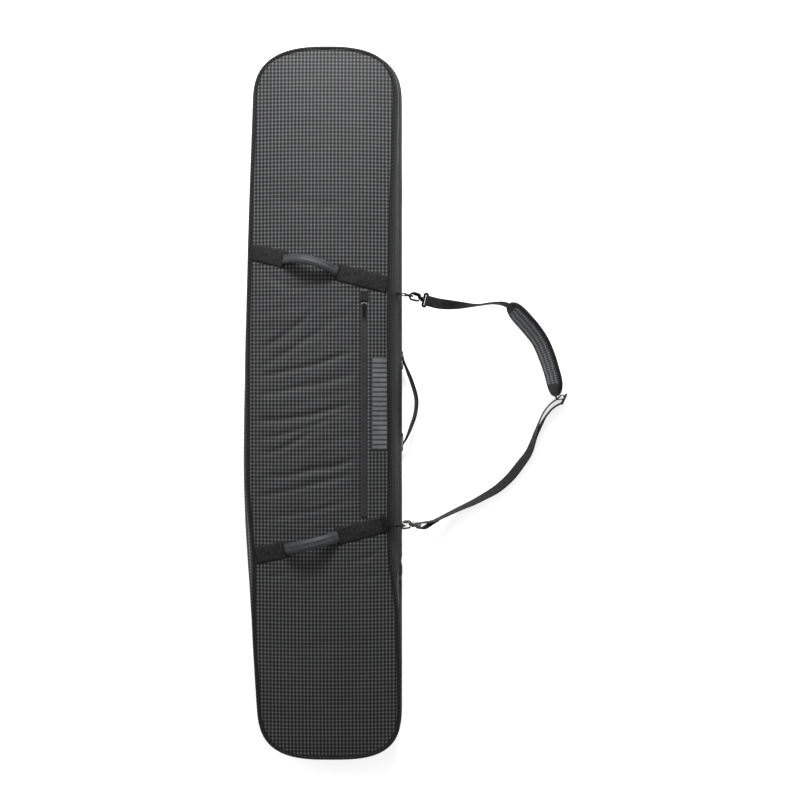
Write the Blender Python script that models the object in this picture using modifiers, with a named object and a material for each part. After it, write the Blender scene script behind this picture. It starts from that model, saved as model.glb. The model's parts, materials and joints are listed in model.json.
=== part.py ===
"""Padded snowboard bag with a wrap-round zip, carry handles and a clip-on shoulder strap.

The bag lies on its back: +Y runs along its length, +X towards the zipped side and the
strap, +Z up out of the front panel. Plan positions are measured from the bag's own
centre line, and the empty "bag_origin" then puts the footprint's middle at the origin.
All sizes are in metres.
"""
import math

import bmesh
import bpy
from mathutils import Matrix, Vector

# ---- driving dimensions ---------------------------------------------------
FOOTPRINT_SHIFT = -0.01515   # centre line of the bag from the middle of the footprint
GAP = 0.0003                 # clearance between touching pieces

TOP_END = 0.830              # outermost point of the top end
BOTTOM_END = -0.830
CAP_START = 0.70             # the rounded ends start here, both ways from the middle
TOP_SQUARENESS = 2.6         # superellipse exponents of the two rounded ends
BOTTOM_SQUARENESS = 3.0
RIGHT_SIDE = 0.1825          # the zipped side is straight
# Left side, bowed outwards: (y, x)
LEFT_SIDE = ((-0.84, -0.146), (-0.72, -0.155), (-0.45, -0.173), (-0.22, -0.1865),
             (0.0, -0.1865), (0.35, -0.178), (0.70, -0.166), (0.84, -0.162))
# How far the front piping lies inside the widest outline: (y, inset)
FRONT_INSET_LEFT = ((-0.84, 0.007), (-0.50, 0.010), (-0.35, 0.019), (-0.20, 0.015),
                    (0.0, 0.014), (0.30, 0.010), (0.84, 0.008))
FRONT_INSET_RIGHT = ((-0.84, 0.006), (-0.62, 0.007), (-0.47, 0.013), (-0.33, 0.029),
                     (-0.10, 0.027), (0.20, 0.030), (0.50, 0.023), (0.84, 0.011))
FRONT_INSET_END = 0.010
BACK_INSET = 0.012
ZIP_INSET = 0.008

BACK_THICK = 0.003           # back panel, outer fabric with its stiffener
BACK_FOAM = 0.007
FRONT_FOAM = 0.005
FOAM_INSET = 0.006           # foam and lining stop this far inside their piping
LINING = 0.001
FABRIC = 0.0015
PIPING_R = 0.003
PIPING_Z = 0.0046            # back piping centre
WIDEST_Z = 0.044             # height of the widest outline
ZIP_Z = 0.062                # height of the zip's teeth line
TAPE_HIGH = 0.0080           # height of each zipper tape
TAPE_THICK = 0.0012
EDGE_Z = 0.100               # front piping at the middle of the bag
EDGE_DROP = 0.014            # how much lower it is at the ends
CROWN = 0.020                # how far the front panel domes above its edge

SPINE_X = -0.1880            # fold line that the cover opens about
POCKET_X = 0.0955            # pocket zip, straight along the bag
POCKET_ENDS = (-0.262, 0.232)
POCKET_SLIDER_Y = 0.2225
SLIDER_LONG = 0.0150
SLIDER_HIGH = 0.0105
PULL_LONG = 0.030
POCKET_PULL_LIFT = 0.0047    # of the pocket's pull above its tape
PULL_BACK = 0.0142           # from a slider's middle to its pull's middle
UPPER_WEB = ((-0.1580, 0.346), (0.1440, 0.273))   # upper webbing, sewn ends' centres
LOWER_WEB = ((-0.1510, -0.351), (0.1430, -0.2785))
WEB_WIDE = 0.040
WEB_THICK = 0.0014
GRIP_START = 0.24            # share of each webbing's length where its grip starts
GRIP_END = 0.625
GRIP_FOOT = 0.0080           # height of each grip's sewn ends above the panel
GRIP_RISE = 0.022
UPPER_GRIP_LEAN = 0.010      # the upper grip leans this far towards the top end
HANDLE_Z = 0.029             # side grab handle's height

STRAP_WIDE = 0.025
STRAP_THICK = 0.0016
PAD_WIDE = 0.058
PAD_THICK = 0.011
UPPER_RING = Vector((0.1900, 0.2500, 0.0850))     # middle of each D-ring's straight bar
LOWER_RING = Vector((0.1720, -0.2820, 0.1010))
RING_TURN = {"upper": -10, "lower": 0}            # degrees that each ring is turned on its bar
RING_WIRE = 0.0021
RING_R = 0.0145
RING_STUB = 0.003
HOOK_WIRE = 0.0021           # radius of the hook's wire; the hook is a flat loop
HOOK_HALF = 0.0075           # half the loop's width
HOOK_REACH = 0.0265          # from the ring to the swivel
HOOK_NOSE = 0.0050
GATE_WIRE = 0.0017
BARREL_LONG = 0.0080
BARREL_R = 0.0050
EYE_HALF = 0.0150            # half the width of the eye that the webbing runs through
EYE_LONG = 0.0090
EYE_WIRE = 0.0019

collection = None


# ---- scene helpers --------------------------------------------------------
def clear_scene():
    for item in list(bpy.data.objects):
        bpy.data.objects.remove(item, do_unlink=True)


def new_collection(name):
    made = bpy.data.collections.new(name)
    bpy.context.scene.collection.children.link(made)
    return made


def material(name, colour, roughness, metallic=0.0):
    made = bpy.data.materials.new(name)
    made.use_nodes = True
    shader = made.node_tree.nodes["Principled BSDF"]
    shader.inputs["Base Color"].default_value = (*colour, 1.0)
    shader.inputs["Roughness"].default_value = roughness
    shader.inputs["Metallic"].default_value = metallic
    return made


def add_object(name, data, look):
    made = bpy.data.objects.new(name, data)
    collection.objects.link(made)
    data.materials.append(material(name, *look))
    return made


def mesh_object(name, mesh, look, smooth=True):
    bmesh.ops.recalc_face_normals(mesh, faces=mesh.faces)
    data = bpy.data.meshes.new(name)
    mesh.to_mesh(data)
    mesh.free()
    if smooth:
        data.shade_smooth()
        data.set_sharp_from_angle(angle=math.radians(40))
    return add_object(name, data, look)


def solidify(part, thickness, offset=-1.0):
    shell = part.modifiers.new("thickness", "SOLIDIFY")
    shell.thickness = thickness
    shell.offset = offset
    shell.use_even_offset = True
    return shell


# ---- curves through hand-set points ---------------------------------------
def through(points, at):
    """Smooth value of a table of (position, value) at a position."""
    last = len(points) - 2
    k = 0
    while k < last and points[k + 1][0] < at:
        k += 1
    (x0, y0), (x1, y1) = points[k], points[k + 1]
    before = points[max(k - 1, 0)]
    after = points[min(k + 2, len(points) - 1)]
    slope0 = (y1 - before[1]) / (x1 - before[0])
    slope1 = (after[1] - y0) / (after[0] - x0)
    t = min(max((at - x0) / (x1 - x0), 0.0), 1.0)
    run = x1 - x0
    return ((2 * t ** 3 - 3 * t ** 2 + 1) * y0 + (t ** 3 - 2 * t ** 2 + t) * run * slope0
            + (3 * t ** 2 - 2 * t ** 3) * y1 + (t ** 3 - t ** 2) * run * slope1)


def smooth_route(points, steps):
    """Catmull-Rom curve through the points, with the given steps between two points."""
    points = [Vector(p) for p in points]
    padded = [2 * points[0] - points[1], *points, 2 * points[-1] - points[-2]]
    route = []
    for k in range(1, len(padded) - 2):
        a, b, c, d = padded[k - 1:k + 3]
        for step in range(steps):
            t = step / steps
            route.append(0.5 * (2 * b + (c - a) * t + (2 * a - 5 * b + 4 * c - d) * t * t
                                + (3 * b - a - 3 * c + d) * t ** 3))
    route.append(points[-1])
    return route


# ---- the bag's outline ----------------------------------------------------
def side_x(y, inset_left, inset_right):
    left = through(LEFT_SIDE, y) + inset_left(y)
    right = RIGHT_SIDE - inset_right(y)
    return left, right


SIDE_STEPS = 14
CAP_STEPS = 18
CAP_UNZIPPED = 3             # steps of each rounded end, on the spine's side, with no zip


def outline(inset_left, inset_right, inset_end):
    """Closed ring of plan points: up the right side, over the top, down the left."""
    ring = []

    def add(y, share, to_right):
        left, right = side_x(y, inset_left, inset_right)
        middle, half = (left + right) / 2, (right - left) / 2
        ring.append((middle + (half if to_right else -half) * share, y))

    def cap(end, squareness, start_angle):
        high = abs(end) - inset_end - CAP_START
        for step in range(1, CAP_STEPS):
            angle = start_angle + math.pi * step / CAP_STEPS
            share = abs(math.cos(angle)) ** (2 / squareness)
            rise = abs(math.sin(angle)) ** (2 / squareness)
            y = math.copysign(CAP_START + high * rise, end)
            add(y, share, math.cos(angle) > 0)

    for step in range(SIDE_STEPS + 1):
        add(-CAP_START + 2 * CAP_START * step / SIDE_STEPS, 1.0, True)
    cap(TOP_END, TOP_SQUARENESS, 0.0)
    for step in range(SIDE_STEPS + 1):
        add(CAP_START - 2 * CAP_START * step / SIDE_STEPS, 1.0, False)
    cap(BOTTOM_END, BOTTOM_SQUARENESS, math.pi)
    return ring


ZIP_RUN = SIDE_STEPS + CAP_STEPS - 3   # ring steps from the right side to the zip's end


def even(inset):
    return outline(lambda y: inset, lambda y: inset, inset)


def front_ring(more=0.0):
    return outline(lambda y: through(FRONT_INSET_LEFT, y) + more,
                   lambda y: through(FRONT_INSET_RIGHT, y) + more,
                   FRONT_INSET_END + more)


def front_z(x, y):
    """Height of the domed front panel's outer face."""
    left, right = side_x(y, lambda at: through(FRONT_INSET_LEFT, at),
                         lambda at: through(FRONT_INSET_RIGHT, at))
    across = (2 * x - left - right) / (right - left)
    along = y / (TOP_END - FRONT_INSET_END)
    edge = EDGE_Z - EDGE_DROP * along * along
    return edge + CROWN * max(1 - across * across, 0.0) * max(1 - along ** 6, 0.0)


def ring_at(ring, z):
    return [Vector((x, y, z)) for x, y in ring]


def front_level(more, lower):
    return [Vector((x, y, front_z(x, y) - lower)) for x, y in front_ring(more)]


def wall(name, rings, thickness, look, first=0, count=None):
    """A wall lofted through rings, all round or from one ring step to another."""
    size = len(rings[0])
    whole = count is None
    count = size if whole else count
    mesh = bmesh.new()
    rows = []
    for ring in rings:
        steps = count if whole else count + 1
        rows.append([mesh.verts.new(ring[(first + k) % size]) for k in range(steps)])
    for low, high in zip(rows, rows[1:]):
        for k in range(count):
            n = (k + 1) % len(low)
            mesh.faces.new((low[k], low[n], high[n], high[k]))
    part = mesh_object(name, mesh, look)
    solidify(part, thickness, -1.0)
    return part


def face_outwards(part):
    """Turn an open shell's faces so that its first face looks away from the bag."""
    data = part.data
    centre = data.polygons[0].center
    normal = data.polygons[0].normal
    if normal.x * centre.x + normal.y * centre.y < 0:
        data.flip_normals()


def sheet(name, ring, height, thickness, look):
    """A panel over the whole outline: rings that shrink to the centre line."""
    shares = (1.0, 0.85, 0.6, 0.3, 0.0)
    mesh = bmesh.new()
    rows = []
    for share in shares:
        row = []
        for x, y in ring:
            stop = CAP_START - 0.05
            spine_y = min(max(y, -stop), stop)
            px = 0.004 + (x - 0.004) * share
            py = spine_y + (y - spine_y) * share
            row.append(mesh.verts.new((px, py, height(px, py))))
        rows.append(row)
    for outer, inner in zip(rows, rows[1:]):
        for k in range(len(outer)):
            n = (k + 1) % len(outer)
            mesh.faces.new((outer[k], outer[n], inner[n], inner[k]))
    bmesh.ops.remove_doubles(mesh, verts=mesh.verts, dist=0.0001)
    bmesh.ops.dissolve_degenerate(mesh, edges=mesh.edges, dist=0.0001)
    part = mesh_object(name, mesh, look)
    if part.data.polygons[0].normal.z < 0:
        part.data.flip_normals()
    solidify(part, thickness)
    return part


def draped(name, start, end, width, thickness, lift, look, steps=10, across=2):
    """A strip laid over the front panel from start to end, both plan points."""
    start, end = Vector((*start, 0)), Vector((*end, 0))
    side = (end - start).normalized().cross(Vector((0, 0, 1))) * width / 2
    mesh = bmesh.new()
    rows = []
    for k in range(steps + 1):
        middle = start.lerp(end, k / steps)
        row = []
        for j in range(across + 1):
            spot = middle + side * (1 - 2 * j / across)
            row.append(mesh.verts.new((spot.x, spot.y, front_z(spot.x, spot.y) + lift)))
        rows.append(row)
    for a, b in zip(rows, rows[1:]):
        for j in range(across):
            mesh.faces.new((a[j], a[j + 1], b[j + 1], b[j]))
    part = mesh_object(name, mesh, look)
    if part.data.polygons[0].normal.z < 0:
        part.data.flip_normals()
    solidify(part, thickness, 1.0)
    return part


def tube(name, route, radius, look, closed=False, resolution=2):
    curve = bpy.data.curves.new(name, "CURVE")
    curve.dimensions = "3D"
    curve.bevel_depth = radius
    curve.bevel_resolution = resolution
    curve.use_fill_caps = not closed
    spline = curve.splines.new("POLY")
    spline.points.add(len(route) - 1)
    for point, spot in zip(spline.points, route):
        point.co = (*spot, 1.0)
    spline.use_cyclic_u = closed
    return add_object(name, curve, look)


def ribbon(name, sections, look):
    """A closed strap: each section is (centre, half width vector, half thickness vector)."""
    mesh = bmesh.new()
    rows = []
    for centre, wide, thick in sections:
        corners = (wide + thick, -wide + thick, -wide - thick, wide - thick)
        rows.append([mesh.verts.new(centre + corner) for corner in corners])
    for a, b in zip(rows, rows[1:]):
        for k in range(4):
            n = (k + 1) % 4
            mesh.faces.new((a[k], a[n], b[n], b[k]))
    mesh.faces.new(rows[0])
    mesh.faces.new(list(reversed(rows[-1])))
    return mesh_object(name, mesh, look)


def strap(name, points, width, thickness, look, steps=4, taper=None):
    """A strap through (x, y, z, lean): lean turns its width from level (0) to upright (90)."""
    centres = smooth_route([p[:3] for p in points], steps)
    leans = smooth_route([(p[3], 0, 0) for p in points], steps)
    sections = []
    for k, centre in enumerate(centres):
        ahead = centres[min(k + 1, len(centres) - 1)] - centres[max(k - 1, 0)]
        ahead.normalize()
        level = Vector((0, 0, 1)).cross(ahead).normalized()
        upright = ahead.cross(level)
        lean = math.radians(leans[k].x)
        wide = level * math.cos(lean) + upright * math.sin(lean)
        thick = ahead.cross(wide)
        share = taper(k / (len(centres) - 1)) if taper else 1.0
        sections.append((centre, wide * width / 2 * share, thick * thickness / 2))
    return ribbon(name, sections, look)


def box(name, size, matrix, look, bevel=0.0):
    mesh = bmesh.new()
    bmesh.ops.create_cube(mesh, size=1.0)
    bmesh.ops.scale(mesh, vec=size, verts=mesh.verts)
    part = mesh_object(name, mesh, look, smooth=False)
    part.matrix_world = matrix
    if bevel:
        edge = part.modifiers.new("edges", "BEVEL")
        edge.width = bevel
        edge.segments = 1
    return part


def as_mesh(part, look):
    """Turn a curve object into a welded mesh object, so that it can be cut or joined."""
    graph = bpy.context.evaluated_depsgraph_get()
    data = bpy.data.meshes.new_from_object(part.evaluated_get(graph))
    mesh = bmesh.new()
    mesh.from_mesh(data)
    bmesh.ops.remove_doubles(mesh, verts=mesh.verts, dist=0.00001)
    matrix = part.matrix_world.copy()
    name = part.name
    bpy.data.objects.remove(part, do_unlink=True)
    bpy.data.meshes.remove(data)
    made = mesh_object(name, mesh, look)
    made.matrix_world = matrix
    return made


def combine(part, other, operation="UNION"):
    """Apply a Boolean of another solid to a part, and remove the other solid."""
    cut = part.modifiers.new("join", "BOOLEAN")
    cut.operation = operation
    cut.object = other
    bpy.context.view_layer.update()
    graph = bpy.context.evaluated_depsgraph_get()
    data = bpy.data.meshes.new_from_object(part.evaluated_get(graph))
    part.modifiers.remove(cut)
    part.data = data
    bpy.data.objects.remove(other, do_unlink=True)
    return part


# ---- looks: colour, roughness, metallic -----------------------------------
FABRIC_LOOK = ((0.050, 0.050, 0.052), 0.72)
FOAM_LOOK = ((0.20, 0.20, 0.21), 0.90)
LINING_LOOK = ((0.09, 0.09, 0.10), 0.80)
TRIM_LOOK = ((0.012, 0.012, 0.013), 0.60)
WEB_LOOK = ((0.022, 0.022, 0.023), 0.75)
GRIP_LOOK = ((0.060, 0.064, 0.072), 0.45)
PATCH_LOOK = ((0.100, 0.104, 0.108), 0.50)
METAL_LOOK = ((0.10, 0.10, 0.10), 0.28, 1.0)
PLASTIC_LOOK = ((0.015, 0.015, 0.016), 0.40)


# ---- shell ----------------------------------------------------------------
def build_base():
    sheet("back_panel", even(BACK_INSET + PIPING_R + 0.0006), lambda x, y: BACK_THICK,
          BACK_THICK, FABRIC_LOOK)
    inner = even(BACK_INSET + FOAM_INSET)
    foam_top = BACK_THICK + GAP + BACK_FOAM
    sheet("back_foam", inner, lambda x, y: foam_top, BACK_FOAM, FOAM_LOOK)
    lining_top = foam_top + GAP + LINING
    sheet("back_lining", inner, lambda x, y: lining_top, LINING, LINING_LOOK)
    tube("back_piping", ring_at(even(BACK_INSET), PIPING_Z), PIPING_R, TRIM_LOOK, closed=True)
    rings = [ring_at(even(BACK_INSET), PIPING_Z + PIPING_R + GAP),
             ring_at(even(0.006), 0.016),
             ring_at(even(0.0015), 0.030),
             ring_at(even(0.0), WIDEST_Z),
             ring_at(even(ZIP_INSET), ZIP_Z - TAPE_HIGH - 2 * GAP)]
    face_outwards(wall("base_gusset", rings, FABRIC, FABRIC_LOOK))


def build_zip_halves():
    plan = even(ZIP_INSET)
    size = len(plan)
    low = (ZIP_Z - TAPE_HIGH - GAP, ZIP_Z - GAP)
    high = (ZIP_Z + GAP, ZIP_Z + TAPE_HIGH + GAP)
    zip_first = size - CAP_STEPS + CAP_UNZIPPED
    zip_count = 2 * (CAP_STEPS - CAP_UNZIPPED) + SIDE_STEPS
    spine_first = (zip_first + zip_count) % size
    spine_count = size - zip_count
    pieces = (("zipper_tape_lower", low, zip_first, zip_count, TRIM_LOOK),
              ("zipper_tape_upper", high, zip_first, zip_count, TRIM_LOOK),
              ("spine_fold_base", low, spine_first, spine_count, FABRIC_LOOK),
              ("spine_fold_cover", high, spine_first, spine_count, FABRIC_LOOK))
    for name, heights, first, count, look in pieces:
        rings = [ring_at(plan, z) for z in heights]
        for ring in rings:
            trim_ends(ring, first, count)
        face_outwards(wall(name, rings, TAPE_THICK, look, first, count))


def trim_ends(ring, first, count):
    """Pull a run's two end points in, so that two runs don't touch."""
    size = len(ring)
    for end, inner in ((first, first + 1), (first + count, first + count - 1)):
        here, there = ring[end % size].copy(), ring[inner % size]
        ring[end % size] = here + (there - here).normalized() * (GAP + 0.0001)


def build_cover():
    look = FABRIC_LOOK
    sheet("front_panel", front_ring(PIPING_R + 0.0006), front_z, FABRIC, look)
    inner = front_ring(PIPING_R + FOAM_INSET)
    foam_low = FABRIC + 2 * GAP
    lining_low = foam_low + FRONT_FOAM + 2 * GAP
    sheet("front_foam", inner, lambda x, y: front_z(x, y) - foam_low, FRONT_FOAM, FOAM_LOOK)
    sheet("front_lining", inner, lambda x, y: front_z(x, y) - lining_low, LINING, LINING_LOOK)
    tube("front_piping", front_level(0.0, 0.0), PIPING_R, TRIM_LOOK, closed=True)
    bottom = ring_at(even(ZIP_INSET), ZIP_Z + TAPE_HIGH + 0.0018)
    top = front_level(0.0, PIPING_R + GAP)
    middle = [a.lerp(b, 0.5) + outward(a) * 0.0025 for a, b in zip(bottom, top)]
    face_outwards(wall("cover_gusset", [bottom, middle, top], FABRIC, look))


def outward(spot):
    flat = Vector((spot.x, spot.y - min(max(spot.y, -0.62), 0.62), 0))
    return flat.normalized()


# ---- front webbing, grips and pocket --------------------------------------
def along(web, share):
    return Vector((*web[0], 0)).lerp(Vector((*web[1], 0)), share)


def build_webbing(which, web, lean):
    lift = 2 * GAP
    pairs = (("left", 0.0, GRIP_START), ("right", GRIP_END, 1.0))
    for side, first, last in pairs:
        draped(f"handle_webbing_{which}_{side}", along(web, first)[:2], along(web, last)[:2],
               WEB_WIDE, WEB_THICK, lift, WEB_LOOK, steps=6)
    first, last = along(web, GRIP_START), along(web, GRIP_END)
    points = []
    for share, rise in ((0.0, 0.0), (0.12, 0.45), (0.3, 0.86), (0.5, 1.0), (0.7, 0.86),
                        (0.88, 0.45), (1.0, 0.0)):
        spot = first.lerp(last, share)
        spot.z = front_z(spot.x, spot.y) + GRIP_FOOT + GRIP_RISE * rise
        spot.y += lean * rise
        points.append(spot)
    route = smooth_route(points, 3)
    sections = []
    middle = (last - first).normalized()
    side = middle.cross(Vector((0, 0, 1)))
    for k, centre in enumerate(route):
        ahead = (route[min(k + 1, len(route) - 1)] - route[max(k - 1, 0)]).normalized()
        share = min(k, len(route) - 1 - k) / (len(route) / 2)
        fullness = min(share * 3.0, 1.0)
        half = 0.0045 + 0.0085 * fullness
        high = 0.0020 + 0.0032 * fullness
        sections.append((centre, side * half, ahead.cross(side) * high))
    ribbon(f"handle_grip_{which}", sections, GRIP_LOOK)


def build_pocket():
    x = POCKET_X
    low, high = POCKET_ENDS
    lift = 2 * GAP
    draped("pocket_zipper_tape", (x, low), (x, high), 0.015, TAPE_THICK, lift, TRIM_LOOK,
           steps=14)
    draped("pocket_zipper_garage", (x, high + 0.002), (x, high + 0.028), 0.020, WEB_THICK, lift,
           PLASTIC_LOOK, steps=2)
    draped("front_patch", (0.131, -0.110), (0.131, 0.105), 0.037, 0.0012, lift, PATCH_LOOK,
           steps=6)
    z = front_z(x, 0.0)          # the slider's straight path clears the crown's highest point
    slope = math.atan2(z - front_z(x + 0.01, 0.0), 0.01)
    place = (Matrix.Translation((x, POCKET_SLIDER_Y, z + TAPE_THICK + lift))
             @ Matrix.Rotation(slope, 4, "Y"))
    box("pocket_slider", (0.0090, 0.0130, 0.0026), place @ Matrix.Translation((0, 0, 0.0016)),
        METAL_LOOK, 0.0006)
    box("pocket_slider_pull", (0.0060, PULL_LONG, 0.0016),
        place @ Matrix.Translation((0, -PULL_BACK, POCKET_PULL_LIFT)), METAL_LOOK, 0.0004)


# ---- main zip's sliders ---------------------------------------------------
def build_main_slider(which, y, towards):
    """Two plates, one each side of the tapes, joined by the wedge between the teeth."""
    x = RIGHT_SIDE - ZIP_INSET
    outer = box(f"main_slider_{which}", (0.0022, SLIDER_LONG, SLIDER_HIGH),
                Matrix.Translation((x + 0.0016, y, ZIP_Z)), METAL_LOOK)
    bridge = box("bridge", (TAPE_THICK + 0.0040, 0.0030, 1.2 * GAP),
                 Matrix.Translation((x - TAPE_THICK / 2, y, ZIP_Z)), METAL_LOOK)
    inner = box("inner", (0.0016, SLIDER_LONG, SLIDER_HIGH),
                Matrix.Translation((x - TAPE_THICK - 0.0013, y, ZIP_Z)), METAL_LOOK)
    combine(outer, bridge)
    combine(outer, inner)
    box(f"main_slider_pull_{which}", (0.0016, PULL_LONG, 0.0070),
        Matrix.Translation((x + 0.0040, y + towards * PULL_BACK, ZIP_Z)), METAL_LOOK, 0.0004)


# ---- side grab handle -----------------------------------------------------
def build_side_handle():
    x = RIGHT_SIDE
    points = ((x + 0.0080, 0.0930, HANDLE_Z, 90), (x + 0.0140, 0.0740, HANDLE_Z, 86),
              (x + 0.0240, 0.0460, HANDLE_Z, 80), (x + 0.0335, 0.0100, HANDLE_Z, 76),
              (x + 0.0310, -0.0250, HANDLE_Z, 76), (x + 0.0200, -0.0560, HANDLE_Z, 82),
              (x + 0.0080, -0.0850, HANDLE_Z, 90))

    def gathered(share):
        return min(0.30 + 5.0 * min(share, 1 - share), 1.0)

    strap("side_handle", points, STRAP_WIDE, 2 * STRAP_THICK, WEB_LOOK, steps=3, taper=gathered)
    for which, y in (("upper", 0.100), ("lower", -0.092)):
        box(f"side_handle_anchor_{which}", (0.0020, 0.034, 0.020),
            Matrix.Translation((x + 0.0016, y, HANDLE_Z)) @ Matrix.Rotation(0.10, 4, "Y"),
            WEB_LOOK, 0.0005)


# ---- shoulder strap -------------------------------------------------------
def build_d_ring(which, bar, ahead):
    """A D-ring in an upright plane, its straight bar in a webbing tab.

    It returns the middle of the wire where a hook that pulls along "ahead" sits.
    """
    turn = RING_TURN[which]
    place = Matrix.Translation(bar) @ Matrix.Rotation(math.radians(turn), 4, "Z")
    route = [Vector((0, 0, -RING_R)), Vector((0, 0, 0)), Vector((0, 0, RING_R))]
    for step in range(13):
        angle = math.pi / 2 - math.pi * step / 12
        route.append(Vector((RING_STUB + RING_R * math.cos(angle), 0,
                             RING_R * math.sin(angle))))
    ring = tube(f"d_ring_{which}", route, RING_WIRE, METAL_LOOK, closed=True)
    ring.matrix_world = place
    build_ring_tab(which, bar)
    slope = math.asin(ahead.z)
    return place @ Vector((RING_STUB + RING_R * math.cos(slope), 0, RING_R * math.sin(slope)))


def build_ring_tab(which, bar):
    """Webbing folded round the D-ring's bar, sewn to the cover's gusset."""
    reach = 0.0115
    wrap = RING_WIRE + GAP
    outer = 0.0014
    sections = []
    place = Matrix.Translation(bar) @ Matrix.Rotation(math.radians(RING_TURN[which]), 4, "Z")
    for step in range(9):
        angle = -math.pi / 2 + math.pi * step / 8
        sections.append((Vector((wrap * math.cos(angle), wrap * math.sin(angle), 0)),
                         Vector((math.cos(angle), math.sin(angle), 0))))
    first = Vector((-reach, -wrap, 0))
    last = Vector((-reach, wrap, 0))
    sections.insert(0, (first, Vector((0, -1, 0))))
    sections.append((last, Vector((0, 1, 0))))
    tall = Vector((0, 0, 0.0112))
    rows = []
    for spot, away in sections:
        middle = spot + away * (outer / 2)
        rows.append((place @ middle, tall, (place.to_3x3() @ away) * outer / 2))
    ribbon(f"d_ring_tab_{which}", rows, WEB_LOOK)


def build_hook(which, tip, ahead, eye_turn):
    """Snap hook, its sprung gate and its swivel eye, from a D-ring's tip along the strap.

    The eye lies in the hook's plane when eye_turn is 0. The function returns the middle of
    the eye's far bar, which the webbing runs round.
    """
    level = Vector((0, 0, 1)).cross(ahead).normalized()
    turn = Matrix((ahead, level, ahead.cross(level))).transposed().to_4x4()
    place = Matrix.Translation(tip) @ turn
    route = [Vector((HOOK_REACH, 0, 0)), Vector((HOOK_REACH - 0.0020, 0, 0)),
             Vector((HOOK_REACH - 0.0045, 0.0035, 0)),
             Vector((HOOK_REACH - 0.0070, HOOK_HALF - 0.0008, 0)),
             Vector((HOOK_REACH - 0.0120, HOOK_HALF, 0))]
    for step in range(10):
        angle = math.pi / 2 + math.pi * step / 9
        route.append(Vector((HOOK_HALF - HOOK_NOSE + HOOK_HALF * math.cos(angle),
                             HOOK_HALF * math.sin(angle), 0)))
    hook = tube(f"snap_hook_{which}", route, HOOK_WIRE, METAL_LOOK)
    hook.matrix_world = place
    gate_end = HOOK_REACH - 0.0050
    gate = tube(f"hook_gate_{which}", [Vector((HOOK_HALF - HOOK_NOSE + 0.0026, -HOOK_HALF, 0)),
                                       Vector((gate_end, -HOOK_HALF + 0.0020, 0))],
                GATE_WIRE, METAL_LOOK)
    gate.matrix_world = place
    barrel_start = HOOK_REACH + GAP + 0.0001
    eye_z = barrel_start + BARREL_LONG
    far_bar = eye_z + EYE_LONG
    corners = [Vector((eye_z, EYE_HALF, 0)), Vector((far_bar, EYE_HALF, 0)),
               Vector((far_bar, -EYE_HALF, 0)), Vector((eye_z, -EYE_HALF, 0))]
    eye = tube(f"swivel_eye_{which}", rounded_loop(corners, 0.0035), EYE_WIRE, METAL_LOOK,
               closed=True)
    eye = as_mesh(eye, METAL_LOOK)
    mesh = bmesh.new()
    bmesh.ops.create_cone(mesh, cap_ends=True, segments=14, radius1=BARREL_R,
                          radius2=BARREL_R, depth=BARREL_LONG)
    barrel = mesh_object("barrel", mesh, METAL_LOOK)
    middle = (eye_z + barrel_start) / 2
    barrel.matrix_world = Matrix.Translation((middle, 0, 0)) @ Matrix.Rotation(math.pi / 2, 4, "Y")
    bpy.context.view_layer.update()
    combine(eye, barrel)
    eye.matrix_world = place @ Matrix.Rotation(math.radians(eye_turn), 4, "X")
    return place @ Vector((far_bar, 0, 0))


def rounded_loop(corners, radius):
    """Corner points of a closed loop, each replaced by a short arc."""
    loop = []
    for k, corner in enumerate(corners):
        before = (corners[k - 1] - corner).normalized() * radius
        after = (corners[(k + 1) % len(corners)] - corner).normalized() * radius
        for step in range(4):
            t = step / 3
            loop.append(corner + before * (1 - t) ** 2 + after * t * t)
    return loop


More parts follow.
